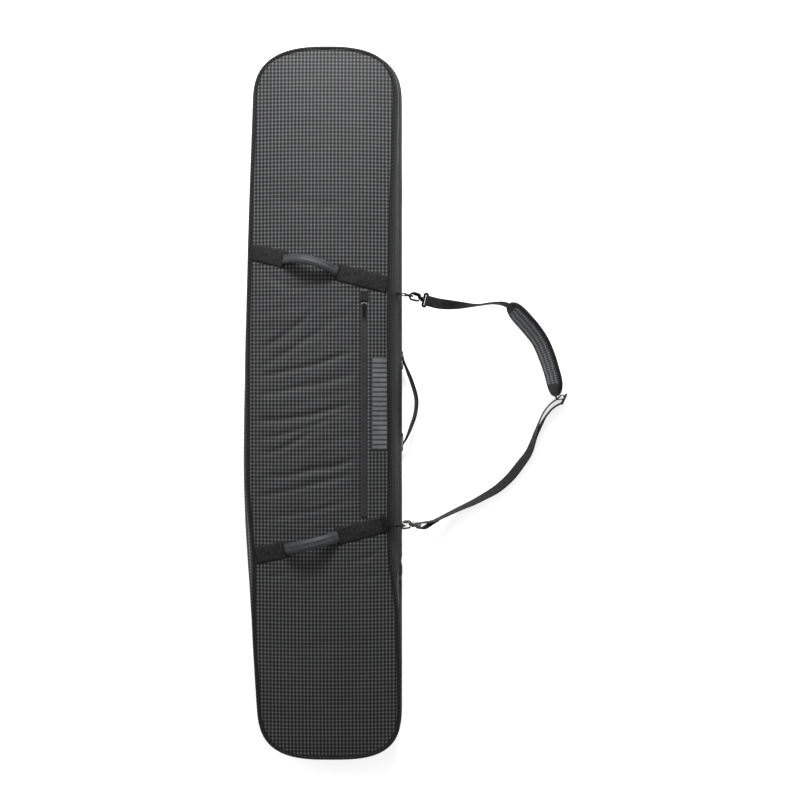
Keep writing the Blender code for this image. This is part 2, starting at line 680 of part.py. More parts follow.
def build_strap():
    upper_pull = Vector((0.80, -0.19, -0.56)).normalized()
    lower_pull = Vector((0.72, -0.02, -0.69)).normalized()
    upper_tip = build_d_ring("upper", UPPER_RING, upper_pull)
    lower_tip = build_d_ring("lower", LOWER_RING, lower_pull)
    upper_eye = build_hook("upper", upper_tip, upper_pull, 0)
    lower_eye = build_hook("lower", lower_tip, lower_pull, 90)
    start = upper_eye + Vector((0.0038, -0.0006, -0.0032))
    upper = ((*start, 0), (0.2660, 0.2330, 0.0420, 8), (0.2900, 0.2310, 0.0280, 25),
             (0.3150, 0.2300, 0.0190, 45), (0.3420, 0.2300, 0.0140, 68),
             (0.3650, 0.2312, 0.0136, 80), (0.3840, 0.2340, 0.0136, 82),
             (0.4000, 0.2352, 0.0136, 80), (0.4180, 0.2335, 0.0140, 75))
    strap("strap_webbing_upper", upper, STRAP_WIDE, STRAP_THICK, WEB_LOOK, steps=3)
    pad = ((0.4340, 0.2290, 0.0290, 60), (0.4470, 0.2180, 0.0290, 60),
           (0.4596, 0.2043, 0.0290, 60), (0.4860, 0.1744, 0.0290, 60),
           (0.5066, 0.1456, 0.0290, 62), (0.5213, 0.1127, 0.0290, 62),
           (0.5330, 0.0775, 0.0290, 64), (0.5405, 0.0481, 0.0290, 64),
           (0.5440, 0.0190, 0.0290, 64))

    def rounded(share):
        return math.sqrt(max(1 - (max(abs(share - 0.5) * 2 - 0.80, 0.0) / 0.235) ** 2, 0.0))

    strap("shoulder_pad", pad, PAD_WIDE, PAD_THICK, GRIP_LOOK, steps=3, taper=rounded)
    end = lower_eye + Vector((0.0072, -0.0006, -0.0074))
    lower = ((0.5492, -0.0050, 0.0136, 90), (0.5400, -0.0110, 0.0136, 90),
             (0.5316, -0.0189, 0.0136, 90), (0.5198, -0.0343, 0.0136, 88),
             (0.5091, -0.0543, 0.0136, 86), (0.4962, -0.0785, 0.0134, 80),
             (0.4815, -0.1168, 0.0115, 54), (0.4610, -0.1463, 0.0070, 26),
             (0.4374, -0.1758, 0.0062, 20), (0.4076, -0.2022, 0.0082, 32),
             (0.3780, -0.2198, 0.0104, 45), (0.3484, -0.2355, 0.0125, 56),
             (0.3185, -0.2486, 0.0175, 66), (0.2890, -0.2622, 0.0270, 72),
             (0.2655, -0.2727, 0.0370, 78), (0.2450, -0.2805, 0.0470, 84), (*end, 90))
    strap("strap_webbing_lower", lower, STRAP_WIDE, STRAP_THICK, WEB_LOOK, steps=2)
    build_tri_glide()


def build_tri_glide():
    """Flat slide buckle that stands on its edge, three bars wide."""
    place = (Matrix.Translation((0.5640, 0.0090, 0.0160))
             @ Matrix.Rotation(math.radians(-25), 4, "Z") @ Matrix.Rotation(math.pi / 2, 4, "Y"))
    frame = box("tri_glide", (0.0310, 0.0280, 0.0030), place, PLASTIC_LOOK)
    for offset in (-0.0065, 0.0065):
        slot = box("slot", (0.0255, 0.0080, 0.0100), place @ Matrix.Translation((0, offset, 0)),
                   PLASTIC_LOOK)
        combine(frame, slot, "DIFFERENCE")


# ---- build ----------------------------------------------------------------
clear_scene()
collection = new_collection("snowboard_bag")
build_base()
build_zip_halves()
build_cover()
build_webbing("upper", UPPER_WEB, UPPER_GRIP_LEAN)
build_webbing("lower", LOWER_WEB, 0.0)
build_pocket()
build_main_slider("upper", -0.3985, 1)
build_main_slider("lower", -0.4145, -1)
build_side_handle()
build_strap()

bag_origin = bpy.data.objects.new("bag_origin", None)
collection.objects.link(bag_origin)
for piece in list(collection.objects):
    if piece is not bag_origin:
        piece.parent = bag_origin
bag_origin.location.x = FOOTPRINT_SHIFT
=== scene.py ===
"""Looks of the padded snowboard bag that lies on its back with its strap spread out."""
import json
import math

import bmesh
import bpy
import numpy as np
from mathutils import Matrix, Vector, noise
from mathutils.bvhtree import BVHTree
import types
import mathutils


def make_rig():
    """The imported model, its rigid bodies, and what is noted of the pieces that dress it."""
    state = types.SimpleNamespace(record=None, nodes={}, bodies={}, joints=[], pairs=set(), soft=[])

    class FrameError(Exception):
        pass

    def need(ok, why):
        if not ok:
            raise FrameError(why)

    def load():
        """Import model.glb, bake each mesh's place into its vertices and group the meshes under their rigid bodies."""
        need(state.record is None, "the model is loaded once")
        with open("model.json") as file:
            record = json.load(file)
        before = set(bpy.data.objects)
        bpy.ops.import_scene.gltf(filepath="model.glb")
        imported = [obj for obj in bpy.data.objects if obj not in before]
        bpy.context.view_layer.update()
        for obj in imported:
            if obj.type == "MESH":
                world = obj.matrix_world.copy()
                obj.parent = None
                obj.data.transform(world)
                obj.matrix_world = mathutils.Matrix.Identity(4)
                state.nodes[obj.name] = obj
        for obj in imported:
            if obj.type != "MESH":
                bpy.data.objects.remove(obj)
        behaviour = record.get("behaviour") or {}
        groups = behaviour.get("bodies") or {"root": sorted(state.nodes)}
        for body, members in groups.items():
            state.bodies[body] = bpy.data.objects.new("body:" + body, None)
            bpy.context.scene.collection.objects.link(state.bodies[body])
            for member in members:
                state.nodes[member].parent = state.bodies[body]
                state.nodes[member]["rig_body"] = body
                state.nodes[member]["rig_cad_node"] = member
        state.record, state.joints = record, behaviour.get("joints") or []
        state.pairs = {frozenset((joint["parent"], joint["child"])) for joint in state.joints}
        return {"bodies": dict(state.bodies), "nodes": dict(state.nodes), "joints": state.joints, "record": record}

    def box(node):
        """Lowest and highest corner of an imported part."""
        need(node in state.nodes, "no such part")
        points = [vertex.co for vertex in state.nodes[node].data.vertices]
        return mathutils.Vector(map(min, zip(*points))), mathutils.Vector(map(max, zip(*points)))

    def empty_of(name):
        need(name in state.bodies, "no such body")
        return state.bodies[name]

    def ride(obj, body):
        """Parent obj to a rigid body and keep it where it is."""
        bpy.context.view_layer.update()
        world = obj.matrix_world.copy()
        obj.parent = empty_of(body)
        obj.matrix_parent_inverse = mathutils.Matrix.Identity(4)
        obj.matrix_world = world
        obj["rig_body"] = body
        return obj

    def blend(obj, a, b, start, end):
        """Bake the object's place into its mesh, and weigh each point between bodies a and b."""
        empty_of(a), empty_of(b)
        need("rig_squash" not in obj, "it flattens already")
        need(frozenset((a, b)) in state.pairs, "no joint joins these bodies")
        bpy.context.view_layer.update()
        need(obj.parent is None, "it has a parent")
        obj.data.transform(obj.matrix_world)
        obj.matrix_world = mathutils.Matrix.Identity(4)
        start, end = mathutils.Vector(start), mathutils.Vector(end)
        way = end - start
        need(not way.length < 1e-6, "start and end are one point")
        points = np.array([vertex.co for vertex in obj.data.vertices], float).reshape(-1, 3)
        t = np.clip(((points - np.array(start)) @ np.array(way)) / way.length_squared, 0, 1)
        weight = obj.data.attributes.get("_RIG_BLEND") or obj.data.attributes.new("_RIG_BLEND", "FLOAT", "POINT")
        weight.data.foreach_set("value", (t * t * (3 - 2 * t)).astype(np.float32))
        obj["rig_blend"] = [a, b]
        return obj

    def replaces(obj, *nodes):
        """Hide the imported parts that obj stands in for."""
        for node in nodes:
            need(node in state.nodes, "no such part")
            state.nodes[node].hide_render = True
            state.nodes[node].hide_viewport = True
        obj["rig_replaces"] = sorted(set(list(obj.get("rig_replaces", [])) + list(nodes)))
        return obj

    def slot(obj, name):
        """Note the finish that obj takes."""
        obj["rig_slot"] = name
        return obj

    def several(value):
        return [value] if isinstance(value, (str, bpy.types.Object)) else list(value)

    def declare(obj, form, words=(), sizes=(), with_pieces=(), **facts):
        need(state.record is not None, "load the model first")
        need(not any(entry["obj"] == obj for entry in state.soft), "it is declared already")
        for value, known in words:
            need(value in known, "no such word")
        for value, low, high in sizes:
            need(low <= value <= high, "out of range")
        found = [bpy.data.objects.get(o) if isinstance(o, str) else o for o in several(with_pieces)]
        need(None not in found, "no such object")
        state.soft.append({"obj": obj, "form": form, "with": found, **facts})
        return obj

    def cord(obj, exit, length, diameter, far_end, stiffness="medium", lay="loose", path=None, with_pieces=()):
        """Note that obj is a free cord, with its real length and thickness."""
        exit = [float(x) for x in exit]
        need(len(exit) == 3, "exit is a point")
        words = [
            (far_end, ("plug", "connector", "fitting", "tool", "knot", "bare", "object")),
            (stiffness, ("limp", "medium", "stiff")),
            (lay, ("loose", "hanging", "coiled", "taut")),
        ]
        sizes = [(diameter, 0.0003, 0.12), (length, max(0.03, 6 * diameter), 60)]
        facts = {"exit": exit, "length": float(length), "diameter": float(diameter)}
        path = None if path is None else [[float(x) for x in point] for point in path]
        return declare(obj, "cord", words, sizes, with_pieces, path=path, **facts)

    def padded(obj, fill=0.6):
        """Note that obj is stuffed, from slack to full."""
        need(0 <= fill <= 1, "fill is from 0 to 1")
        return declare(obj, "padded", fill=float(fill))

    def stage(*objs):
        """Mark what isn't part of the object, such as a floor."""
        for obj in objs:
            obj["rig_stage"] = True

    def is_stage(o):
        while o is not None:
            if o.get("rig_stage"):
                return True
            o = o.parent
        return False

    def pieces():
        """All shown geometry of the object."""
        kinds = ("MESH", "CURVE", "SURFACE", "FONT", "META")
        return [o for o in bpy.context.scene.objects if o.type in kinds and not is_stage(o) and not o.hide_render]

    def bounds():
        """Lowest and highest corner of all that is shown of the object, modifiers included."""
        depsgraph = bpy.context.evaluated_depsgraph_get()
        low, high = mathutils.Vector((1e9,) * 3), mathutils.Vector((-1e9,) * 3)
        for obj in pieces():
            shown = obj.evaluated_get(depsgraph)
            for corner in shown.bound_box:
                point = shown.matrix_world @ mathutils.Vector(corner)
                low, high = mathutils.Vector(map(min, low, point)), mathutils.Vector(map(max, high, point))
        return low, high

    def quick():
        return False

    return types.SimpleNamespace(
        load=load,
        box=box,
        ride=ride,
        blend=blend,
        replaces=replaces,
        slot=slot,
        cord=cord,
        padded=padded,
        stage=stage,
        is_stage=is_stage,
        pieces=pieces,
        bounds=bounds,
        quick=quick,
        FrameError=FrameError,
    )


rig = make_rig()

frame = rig.load()
cad_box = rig.bounds()
nodes = frame["nodes"]

# ---- the bag's shape, as the design has it, in metres ----------------------
RIGHT_SIDE = 0.1825
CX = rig.box("base_gusset")[1].x - RIGHT_SIDE     # the bag's centre line
TOP_END = 0.830
CAP_START = 0.70
LEFT_SIDE = ((-0.84, -0.146), (-0.72, -0.155), (-0.45, -0.173), (-0.22, -0.1865),
             (0.0, -0.1865), (0.35, -0.178), (0.70, -0.166), (0.84, -0.162))
FRONT_INSET_LEFT = ((-0.84, 0.007), (-0.50, 0.010), (-0.35, 0.019), (-0.20, 0.015),
                    (0.0, 0.014), (0.30, 0.010), (0.84, 0.008))
FRONT_INSET_RIGHT = ((-0.84, 0.006), (-0.62, 0.007), (-0.47, 0.013), (-0.33, 0.029),
                     (-0.10, 0.027), (0.20, 0.030), (0.50, 0.023), (0.84, 0.011))
FRONT_INSET_END = 0.010
BACK_INSET = 0.012
ZIP_INSET = 0.008
PIPING_Z = 0.0046
WIDEST_Z = 0.044
ZIP_Z = 0.062
TAPE_HIGH = 0.0083
EDGE_Z = 0.100
EDGE_DROP = 0.014
CROWN = 0.020
UPPER_WEB = ((-0.1580, 0.346), (0.1440, 0.273))
LOWER_WEB = ((-0.1510, -0.351), (0.1430, -0.2785))
WEB_WIDE = 0.040
POCKET_X = 0.0955
POCKET_ENDS = (-0.262, 0.232)
GRIP_START = 0.24
GRIP_END = 0.625
HANDLE_Z = 0.029
STRAP_WIDE = 0.025
ZIP_FROM = -0.122                                 # the zip and the plain gusset start here
CHECK = 0.0082                                    # size of the fabric's woven check
JOINTS = {joint["name"]: joint for joint in frame["joints"]}
SPINE = Vector(JOINTS["cover_hinge"]["pos_m"])


def through(points, at):
    """Smooth value of a table of (position, value) at a position."""
    last = len(points) - 2
    k = 0
    while k < last and points[k + 1][0] < at:
        k += 1
    (x0, y0), (x1, y1) = points[k], points[k + 1]
    before = points[max(k - 1, 0)]
    after = points[min(k + 2, len(points) - 1)]
    slope0 = (y1 - before[1]) / (x1 - before[0])
    slope1 = (after[1] - y0) / (after[0] - x0)
    t = min(max((at - x0) / (x1 - x0), 0.0), 1.0)
    run = x1 - x0
    return ((2 * t ** 3 - 3 * t ** 2 + 1) * y0 + (t ** 3 - 2 * t ** 2 + t) * run * slope0
            + (3 * t ** 2 - 2 * t ** 3) * y1 + (t ** 3 - t ** 2) * run * slope1)


def smooth_route(points, steps):
    """Catmull-Rom curve through the points, with the given steps between two points."""
    points = [Vector(p) for p in points]
    padded = [2 * points[0] - points[1], *points, 2 * points[-1] - points[-2]]
    route = []
    for k in range(1, len(padded) - 2):
        a, b, c, d = padded[k - 1:k + 3]
        for step in range(steps):
            t = step / steps
            route.append(0.5 * (2 * b + (c - a) * t + (2 * a - 5 * b + 4 * c - d) * t * t
                                + (3 * b - a - 3 * c + d) * t ** 3))
    route.append(points[-1])
    return route


def soft_step(low, high, at):
    t = min(max((at - low) / (high - low), 0.0), 1.0)
    return t * t * (3 - 2 * t)


def side_x(y, inset_left, inset_right):
    left = through(LEFT_SIDE, y) + inset_left(y)
    return left, RIGHT_SIDE - inset_right(y)


def outline(inset_left, inset_right, inset_end, side_steps=110, cap_steps=56):
    """Closed ring of plan points: up the right side, over the top, down the left."""
    ring = []

    def add(y, share, to_right):
        left, right = side_x(y, inset_left, inset_right)
        middle, half = (left + right) / 2, (right - left) / 2
        ring.append((middle + (half if to_right else -half) * share, y))

    def cap(sign, squareness, start_angle):
        high = TOP_END - inset_end - CAP_START
        for step in range(1, cap_steps):
            angle = start_angle + math.pi * step / cap_steps
            share = abs(math.cos(angle)) ** (2 / squareness)
            rise = abs(math.sin(angle)) ** (2 / squareness)
            add(sign * (CAP_START + high * rise), share, math.cos(angle) > 0)

    for step in range(side_steps + 1):
        add(-CAP_START + 2 * CAP_START * step / side_steps, 1.0, True)
    cap(1, 2.6, 0.0)
    for step in range(side_steps + 1):
        add(CAP_START - 2 * CAP_START * step / side_steps, 1.0, False)
    cap(-1, 3.0, math.pi)
    return ring


def even(inset):
    return outline(lambda y: inset, lambda y: inset, inset)


def front_sides(y, more=0.0):
    return side_x(y, lambda at: through(FRONT_INSET_LEFT, at) + more,
                  lambda at: through(FRONT_INSET_RIGHT, at) + more)


def front_ring(more=0.0):
    return outline(lambda y: through(FRONT_INSET_LEFT, y) + more,
                   lambda y: through(FRONT_INSET_RIGHT, y) + more, FRONT_INSET_END + more)


def front_z(x, y):
    """Height of the domed front panel, at a point measured from the bag's centre line."""
    left, right = front_sides(y)
    across = (2 * x - left - right) / (right - left)
    along = y / (TOP_END - FRONT_INSET_END)
    edge = EDGE_Z - EDGE_DROP * along * along
    return edge + CROWN * max(1 - across * across, 0.0) * max(1 - along ** 6, 0.0)


def wave(x, y, size, turn=0.0, stretch=1.0, seed=0.0):
    """Smooth noise from -1 to 1, longer along the direction that "turn" gives, in degrees."""
    c, s = math.cos(math.radians(turn)), math.sin(math.radians(turn))
    along, across = (x * c + y * s) / stretch, -x * s + y * c
    return noise.noise(Vector((along / size, across / size, seed)))


# ---- camera ----------------------------------------------------------------
CAMERA_AT = (0.1777 + CX, 0.007)     # what the middle of the picture shows
CAMERA_HIGH = 3.5                    # above the bag's widest outline
VIEW_WIDE = 1.8704                   # seen width at that height


def make_camera():
    data = bpy.data.cameras.new("camera")
    data.sensor_width = 36.0
    data.lens = data.sensor_width * CAMERA_HIGH / VIEW_WIDE
    camera = bpy.data.objects.new("camera", data)
    camera.location = (*CAMERA_AT, CAMERA_HIGH + WIDEST_Z)
    bpy.context.scene.collection.objects.link(camera)
    bpy.context.scene.camera = camera


# ---- mesh helpers ----------------------------------------------------------
def add_mesh(name, data, material, smooth=True):
    if smooth:
        data.shade_smooth()
    made = bpy.data.objects.new(name, data)
    bpy.context.scene.collection.objects.link(made)
    materials = material if isinstance(material, (list, tuple)) else (material,)
    for item in materials:
        data.materials.append(item)
    return made


def grid(name, points, uv, material, wrap=False, caps=False, faces_material=None):
    """A mesh from rows of points; wrap joins each row's last point to its first."""
    rows, columns = len(points), len(points[0])
    flat = [tuple(p) for row in points for p in row]
    faces = []
    corners = []
    picks = []
    turns = columns if wrap else columns - 1
    for r in range(rows - 1):
        for c in range(turns):
            n = (c + 1) % columns
            faces.append((r * columns + c, r * columns + n, (r + 1) * columns + n,
                          (r + 1) * columns + c))
            corners.extend((uv(r, c), uv(r, c + 1), uv(r + 1, c + 1), uv(r + 1, c)))
            picks.append(faces_material(r, c) if faces_material else 0)
    if caps:
        for r, order in ((0, range(columns)), (rows - 1, range(columns))):
            loop = [r * columns + c for c in order]
            faces.append(tuple(reversed(loop)) if r == 0 else tuple(loop))
            corners.extend(uv(r, c) for c in order)
            picks.append(0)
    data = bpy.data.meshes.new(name)
    data.from_pydata(flat, [], faces)
    layer = data.uv_layers.new(name="weave")
    layer.data.foreach_set("uv", np.array(corners, np.float32).ravel())
    data.polygons.foreach_set("material_index", np.array(picks, np.int32))
    data.update()
    return add_mesh(name, data, material)


def normals_out(part, centre_of):
    """Turn the faces so that they look away from a point that depends on the place."""
    face = part.data.polygons[len(part.data.polygons) // 2]
    if face.normal.dot(face.center - centre_of(face.center)) < 0:
        part.data.flip_normals()


def solidify(part, thickness, offset=-1.0):
    shell = part.modifiers.new("thickness", "SOLIDIFY")
    shell.thickness = thickness
    shell.offset = offset
    return shell


def lengths(route):
    """Distance along a route at each of its points."""
    total = [0.0]
    for a, b in zip(route, route[1:]):
        total.append(total[-1] + (Vector(b) - Vector(a)).length)
    return total


def headings(route, closed=False):
    made = []
    last = len(route) - 1
    for k in range(len(route)):
        before = route[k - 1] if closed or k else route[0]
        after = route[(k + 1) % len(route)] if closed or k < last else route[last]
        made.append((after - before).normalized())
    return made


def sweep(name, route, section, material, up=(0, 0, 1), closed=False, caps=True):
    """A solid swept along a route. section(k, share) gives (across, above) offsets."""
    route = [Vector(p) for p in route]
    ahead = headings(route, closed)
    run = lengths(route)
    rows = []
    for k, (spot, along) in enumerate(zip(route, ahead)):
        upward = up(k) if callable(up) else Vector(up)
        side = along.cross(upward).normalized()
        above = side.cross(along)
        rows.append([spot + side * a + above * b for a, b in section(k, run[k] / run[-1])])
    if closed:
        rows.append(rows[0])
        run.append(run[-1] + (route[0] - route[-1]).length)
    count = len(rows[0])
    girth = lengths([*rows[len(rows) // 2], rows[len(rows) // 2][0]])
    made = grid(name, rows, lambda r, c: (girth[c], run[r]), material, wrap=True,
                caps=caps and not closed)
    if closed:
        weld(made)
    return made


def weld(part, distance=0.00002):
    mesh = bmesh.new()
    mesh.from_mesh(part.data)
    bmesh.ops.remove_doubles(mesh, verts=mesh.verts, dist=distance)
    bmesh.ops.recalc_face_normals(mesh, faces=mesh.faces)
    mesh.to_mesh(part.data)
    mesh.free()


def from_bmesh(name, mesh, material, smooth=True):
    data = bpy.data.meshes.new(name)
    mesh.to_mesh(data)
    mesh.free()
    return add_mesh(name, data, material, smooth)


def turned_to(x_axis, y_axis, z_axis):
    """Rotation that turns the world's axes to the given ones."""
    return Matrix((x_axis, y_axis, z_axis)).transposed().to_4x4()


def places_along(route, first, pitch):
    """Places at even steps along a route, each with the route's direction there."""
    run = lengths(route)
    at = first
    k = 0
    while at < run[-1]:
        while run[k + 1] < at:
            k += 1
        ahead = (route[k + 1] - route[k]).normalized()
        yield route[k].lerp(route[k + 1], (at - run[k]) / (run[k + 1] - run[k])), ahead
        at += pitch


def circle(radius, sides=14):
    points = []
    for k in range(sides):
        angle = 2 * math.pi * k / sides
        points.append((radius * math.cos(angle), radius * math.sin(angle)))
    return points


def flat_section(wide, thick, across=10, crown=0.0):
    """A strap's section: flat faces with rounded selvedges."""
    points = []
    for side in (1, -1):
        for k in range(across + 1):
            t = 1 - 2 * k / across
            bulge = (1 - t ** 8) * 0.5 + 0.5 * (1 - abs(t) ** 24)
            points.append((side * t * wide / 2, side * (thick / 2 * bulge + crown * (1 - t * t))))
        points.pop()
        points.append((-side * wide / 2, 0.0))
    return points


def place_on(part, body, slot, *replaced):
    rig.ride(part, body)
    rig.slot(part, slot)
    if replaced:
        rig.replaces(part, *replaced)
    return part


# ---- materials -------------------------------------------------------------
class Shader:
    """A small builder for one procedural material."""

    def __init__(self, name, roughness=0.7, metallic=0.0, sheen=0.0, specular=0.5, coat=0.0):
        self.material = bpy.data.materials.new(name)
        self.material.use_nodes = True
        self.tree = self.material.node_tree
        self.shader = self.tree.nodes["Principled BSDF"]
        self.shader.inputs["Roughness"].default_value = roughness
        self.shader.inputs["Metallic"].default_value = metallic
        self.shader.inputs["Sheen Weight"].default_value = sheen
        self.shader.inputs["Sheen Roughness"].default_value = 0.5
        self.shader.inputs["Specular IOR Level"].default_value = specular
        self.shader.inputs["Coat Weight"].default_value = coat
        self.normal = None

    def link(self, value, socket):
        if isinstance(value, bpy.types.NodeSocket):
            self.tree.links.new(value, socket)
        else:
            socket.default_value = value

    def math(self, kind, a, b=0.0, c=0.0, clamp=False):
        node = self.tree.nodes.new("ShaderNodeMath")
        node.operation = kind
        node.use_clamp = clamp
        for value, socket in zip((a, b, c), node.inputs):
            self.link(value, socket)
        return node.outputs[0]

    def place(self, uv=True):
        node = self.tree.nodes.new("ShaderNodeTexCoord")
        return node.outputs["UV" if uv else "Object"]

    def axes(self, vector):
        node = self.tree.nodes.new("ShaderNodeSeparateXYZ")
        self.link(vector, node.inputs[0])
        return node.outputs

    def noise(self, vector, scale, detail=3.0, rough=0.55):
        node = self.tree.nodes.new("ShaderNodeTexNoise")
        self.link(vector, node.inputs["Vector"])
        node.inputs["Scale"].default_value = scale
        node.inputs["Detail"].default_value = detail
        node.inputs["Roughness"].default_value = rough
        return node.outputs["Fac"]

    def threads(self, value, period, sharpness):
        """1 on each thread line, 0 between, for a coordinate and the distance of the lines."""
        angle = self.math("MULTIPLY", value, 2 * math.pi / period)
        lobe = self.math("MULTIPLY_ADD", self.math("COSINE", angle), 0.5, 0.5)
        return self.math("POWER", lobe, sharpness)

    def ramp(self, value, stops):
        node = self.tree.nodes.new("ShaderNodeValToRGB")
        self.link(value, node.inputs[0])
        ramp = node.color_ramp
        while len(ramp.elements) < len(stops):
            ramp.elements.new(0.5)
        for element, (at, colour) in zip(ramp.elements, stops):
            element.position = at
            element.color = (*colour, 1.0)
        return node.outputs["Color"]

    def colour(self, value):
        self.link(value, self.shader.inputs["Base Color"])

    def rough(self, value, low, high):
        node = self.tree.nodes.new("ShaderNodeMapRange")
        self.link(value, node.inputs["Value"])
        node.inputs["To Min"].default_value = low
        node.inputs["To Max"].default_value = high
        self.link(node.outputs["Result"], self.shader.inputs["Roughness"])

    def bump(self, height, distance, strength=1.0):
        node = self.tree.nodes.new("ShaderNodeBump")
        node.inputs["Distance"].default_value = distance
        node.inputs["Strength"].default_value = strength
        self.link(height, node.inputs["Height"])
        if self.normal is not None:
            self.link(self.normal, node.inputs["Normal"])
        self.normal = node.outputs["Normal"]
        self.link(self.normal, self.shader.inputs["Normal"])


def grey(value, tint=0.0):
    return (value, value * (1 + tint * 0.3), value * (1 + tint))


def check_fabric(name, dark=0.012, line=0.16, plain=False, tint=0.05, check=CHECK):
    """Charcoal polyester: a ripstop ground with a lighter woven check."""
    look = Shader(name, roughness=0.62, sheen=0.02, specular=0.22)
    spot = look.place()
    u, v, _ = look.axes(spot)
    drift = look.noise(spot, 9.0, 2.0)
    wear = look.noise(spot, 260.0, 4.0, 0.7)
    yarn = look.math("MULTIPLY", look.threads(u, 0.0007, 1.0), look.threads(v, 0.0007, 1.0))
    if plain:
        shade = look.math("MULTIPLY_ADD", wear, 0.35, 0.22)
    else:
        upright = look.threads(u, check, 2.2)
        level = look.threads(v, check * 1.06, 2.2)
        both = look.math("MULTIPLY", upright, level)
        lines = look.math("ADD", look.math("MULTIPLY", upright, 0.34),
                          look.math("MULTIPLY", level, 0.22))
        lines = look.math("ADD", lines, look.math("MULTIPLY", both, 0.50))
        shade = look.math("MULTIPLY", lines, look.math("MULTIPLY_ADD", wear, 0.55, 0.72))
    shade = look.math("MULTIPLY", shade, look.math("MULTIPLY_ADD", drift, 0.30, 0.85), clamp=True)
    look.colour(look.ramp(shade, ((0.0, grey(dark, tint)), (1.0, grey(line, tint)))))
    look.rough(wear, 0.52, 0.74)
    look.bump(yarn, 0.00012, 0.5)
    look.bump(shade, 0.00025, 0.6)
    look.bump(look.noise(spot, 55.0, 3.0), 0.0006, 0.35)
    return look.material


def web_fabric(name, base, light):
    """Nylon webbing: a herringbone weave with firm selvedges."""
    look = Shader(name, roughness=0.66, sheen=0.02, specular=0.20)
    spot = look.place()
    u, v, _ = look.axes(spot)
    fold = look.math("PINGPONG", u, 0.004)
    slant = look.math("ADD", v, look.math("MULTIPLY", fold, 0.8))
    weave = look.threads(slant, 0.0022, 1.4)
    ends = look.threads(u, 0.0010, 1.0)
    wear = look.noise(spot, 190.0, 4.0, 0.7)
    rows = look.threads(look.math("ADD", v, look.math("MULTIPLY", look.noise(spot, 90.0), 0.012)),
                        0.0052, 1.2)
    shade = look.math("ADD", look.math("MULTIPLY", weave, 0.45), look.math("MULTIPLY", ends, 0.2))
    shade = look.math("ADD", shade, look.math("MULTIPLY", rows, 0.45))
    blotch = look.math("POWER", look.noise(spot, 120.0, 2.0), 2.2)
    shade = look.math("MULTIPLY", look.math("MULTIPLY", shade, wear), blotch)
    shade = look.math("MULTIPLY", shade, 4.2, clamp=True)
    look.colour(look.ramp(shade, ((0.05, grey(base)), (0.75, grey(light)))))
    look.rough(wear, 0.55, 0.8)
    look.bump(weave, 0.00030, 0.8)
    look.bump(ends, 0.00012, 0.5)
    return look.material


def smooth_plastic(name, colour, roughness, grain=0.3, coat=0.0, fine=900.0):
    look = Shader(name, roughness=roughness, specular=0.45, coat=coat)
    spot = look.place(False)
    wear = look.noise(spot, fine, 3.0)
    broad = look.noise(spot, 40.0, 2.0)
    low = tuple(c * 0.8 for c in colour)
    high = tuple(c * 1.25 for c in colour)
    look.colour(look.ramp(broad, ((0.3, low), (0.7, high))))
    look.rough(wear, roughness * 0.85, min(roughness * 1.2, 1.0))
    look.bump(wear, 0.0001, grain)
    return look.material


def dark_metal(name, base=0.09, roughness=0.30):
    """Black nickel plate, rubbed lighter in places."""
    look = Shader(name, roughness=roughness, metallic=1.0)
    spot = look.place(False)
    rub = look.noise(spot, 240.0, 5.0, 0.65)
    look.colour(look.ramp(rub, ((0.35, grey(base)), (0.60, grey(base * 1.6, -0.06)),
                                (0.80, grey(base * 3.2, -0.08)))))
    look.rough(rub, roughness * 0.8, roughness * 1.5)
    look.bump(rub, 0.00008, 0.5)
    return look.material


def foam_material(name, value):
    look = Shader(name, roughness=0.9)
    cells = look.noise(look.place(False), 700.0, 3.0)
    look.colour(look.ramp(cells, ((0.3, grey(value * 0.7)), (0.7, grey(value * 1.2)))))
    look.bump(cells, 0.0003, 0.6)
    return look.material


def lining_material(name, value):
    look = Shader(name, roughness=0.55, sheen=0.2)
    spot = look.place(False)
    x, y, _ = look.axes(spot)
    weave = look.math("MULTIPLY", look.threads(x, 0.0011, 1.0), look.threads(y, 0.0011, 1.0))
    creases = look.noise(spot, 18.0, 4.0)
    # Painted shade: besides the real weave, the colour follows the crease noise that also bumps the lining, lighter on
    # its ridges and darker in its hollows.
    look.colour(look.ramp(look.math("ADD", look.math("MULTIPLY", weave, 0.3), creases),
                          ((0.3, grey(value * 0.7)), (0.9, grey(value * 1.3)))))
    look.bump(weave, 0.0002, 0.5)
    look.bump(creases, 0.003, 0.6)
    return look.material


FABRIC = check_fabric("check_fabric", dark=0.005, line=0.150)
PLAIN = check_fabric("plain_fabric", dark=0.006, line=0.040, plain=True)
PLAIN_LIGHT = check_fabric("plain_fabric_light", dark=0.009, line=0.070, plain=True)
PIPING = check_fabric("piping_fabric", dark=0.004, line=0.060)
PAD_FABRIC = check_fabric("pad_fabric", dark=0.012, line=0.19, tint=0.14, check=0.0052)
BINDING = web_fabric("binding_tape", 0.003, 0.012)
WEBBING = web_fabric("webbing", 0.006, 0.034)
STRAP_WEB = web_fabric("strap_web", 0.008, 0.036)
GRIP = smooth_plastic("grip_coat", (0.034, 0.036, 0.038), 0.58)
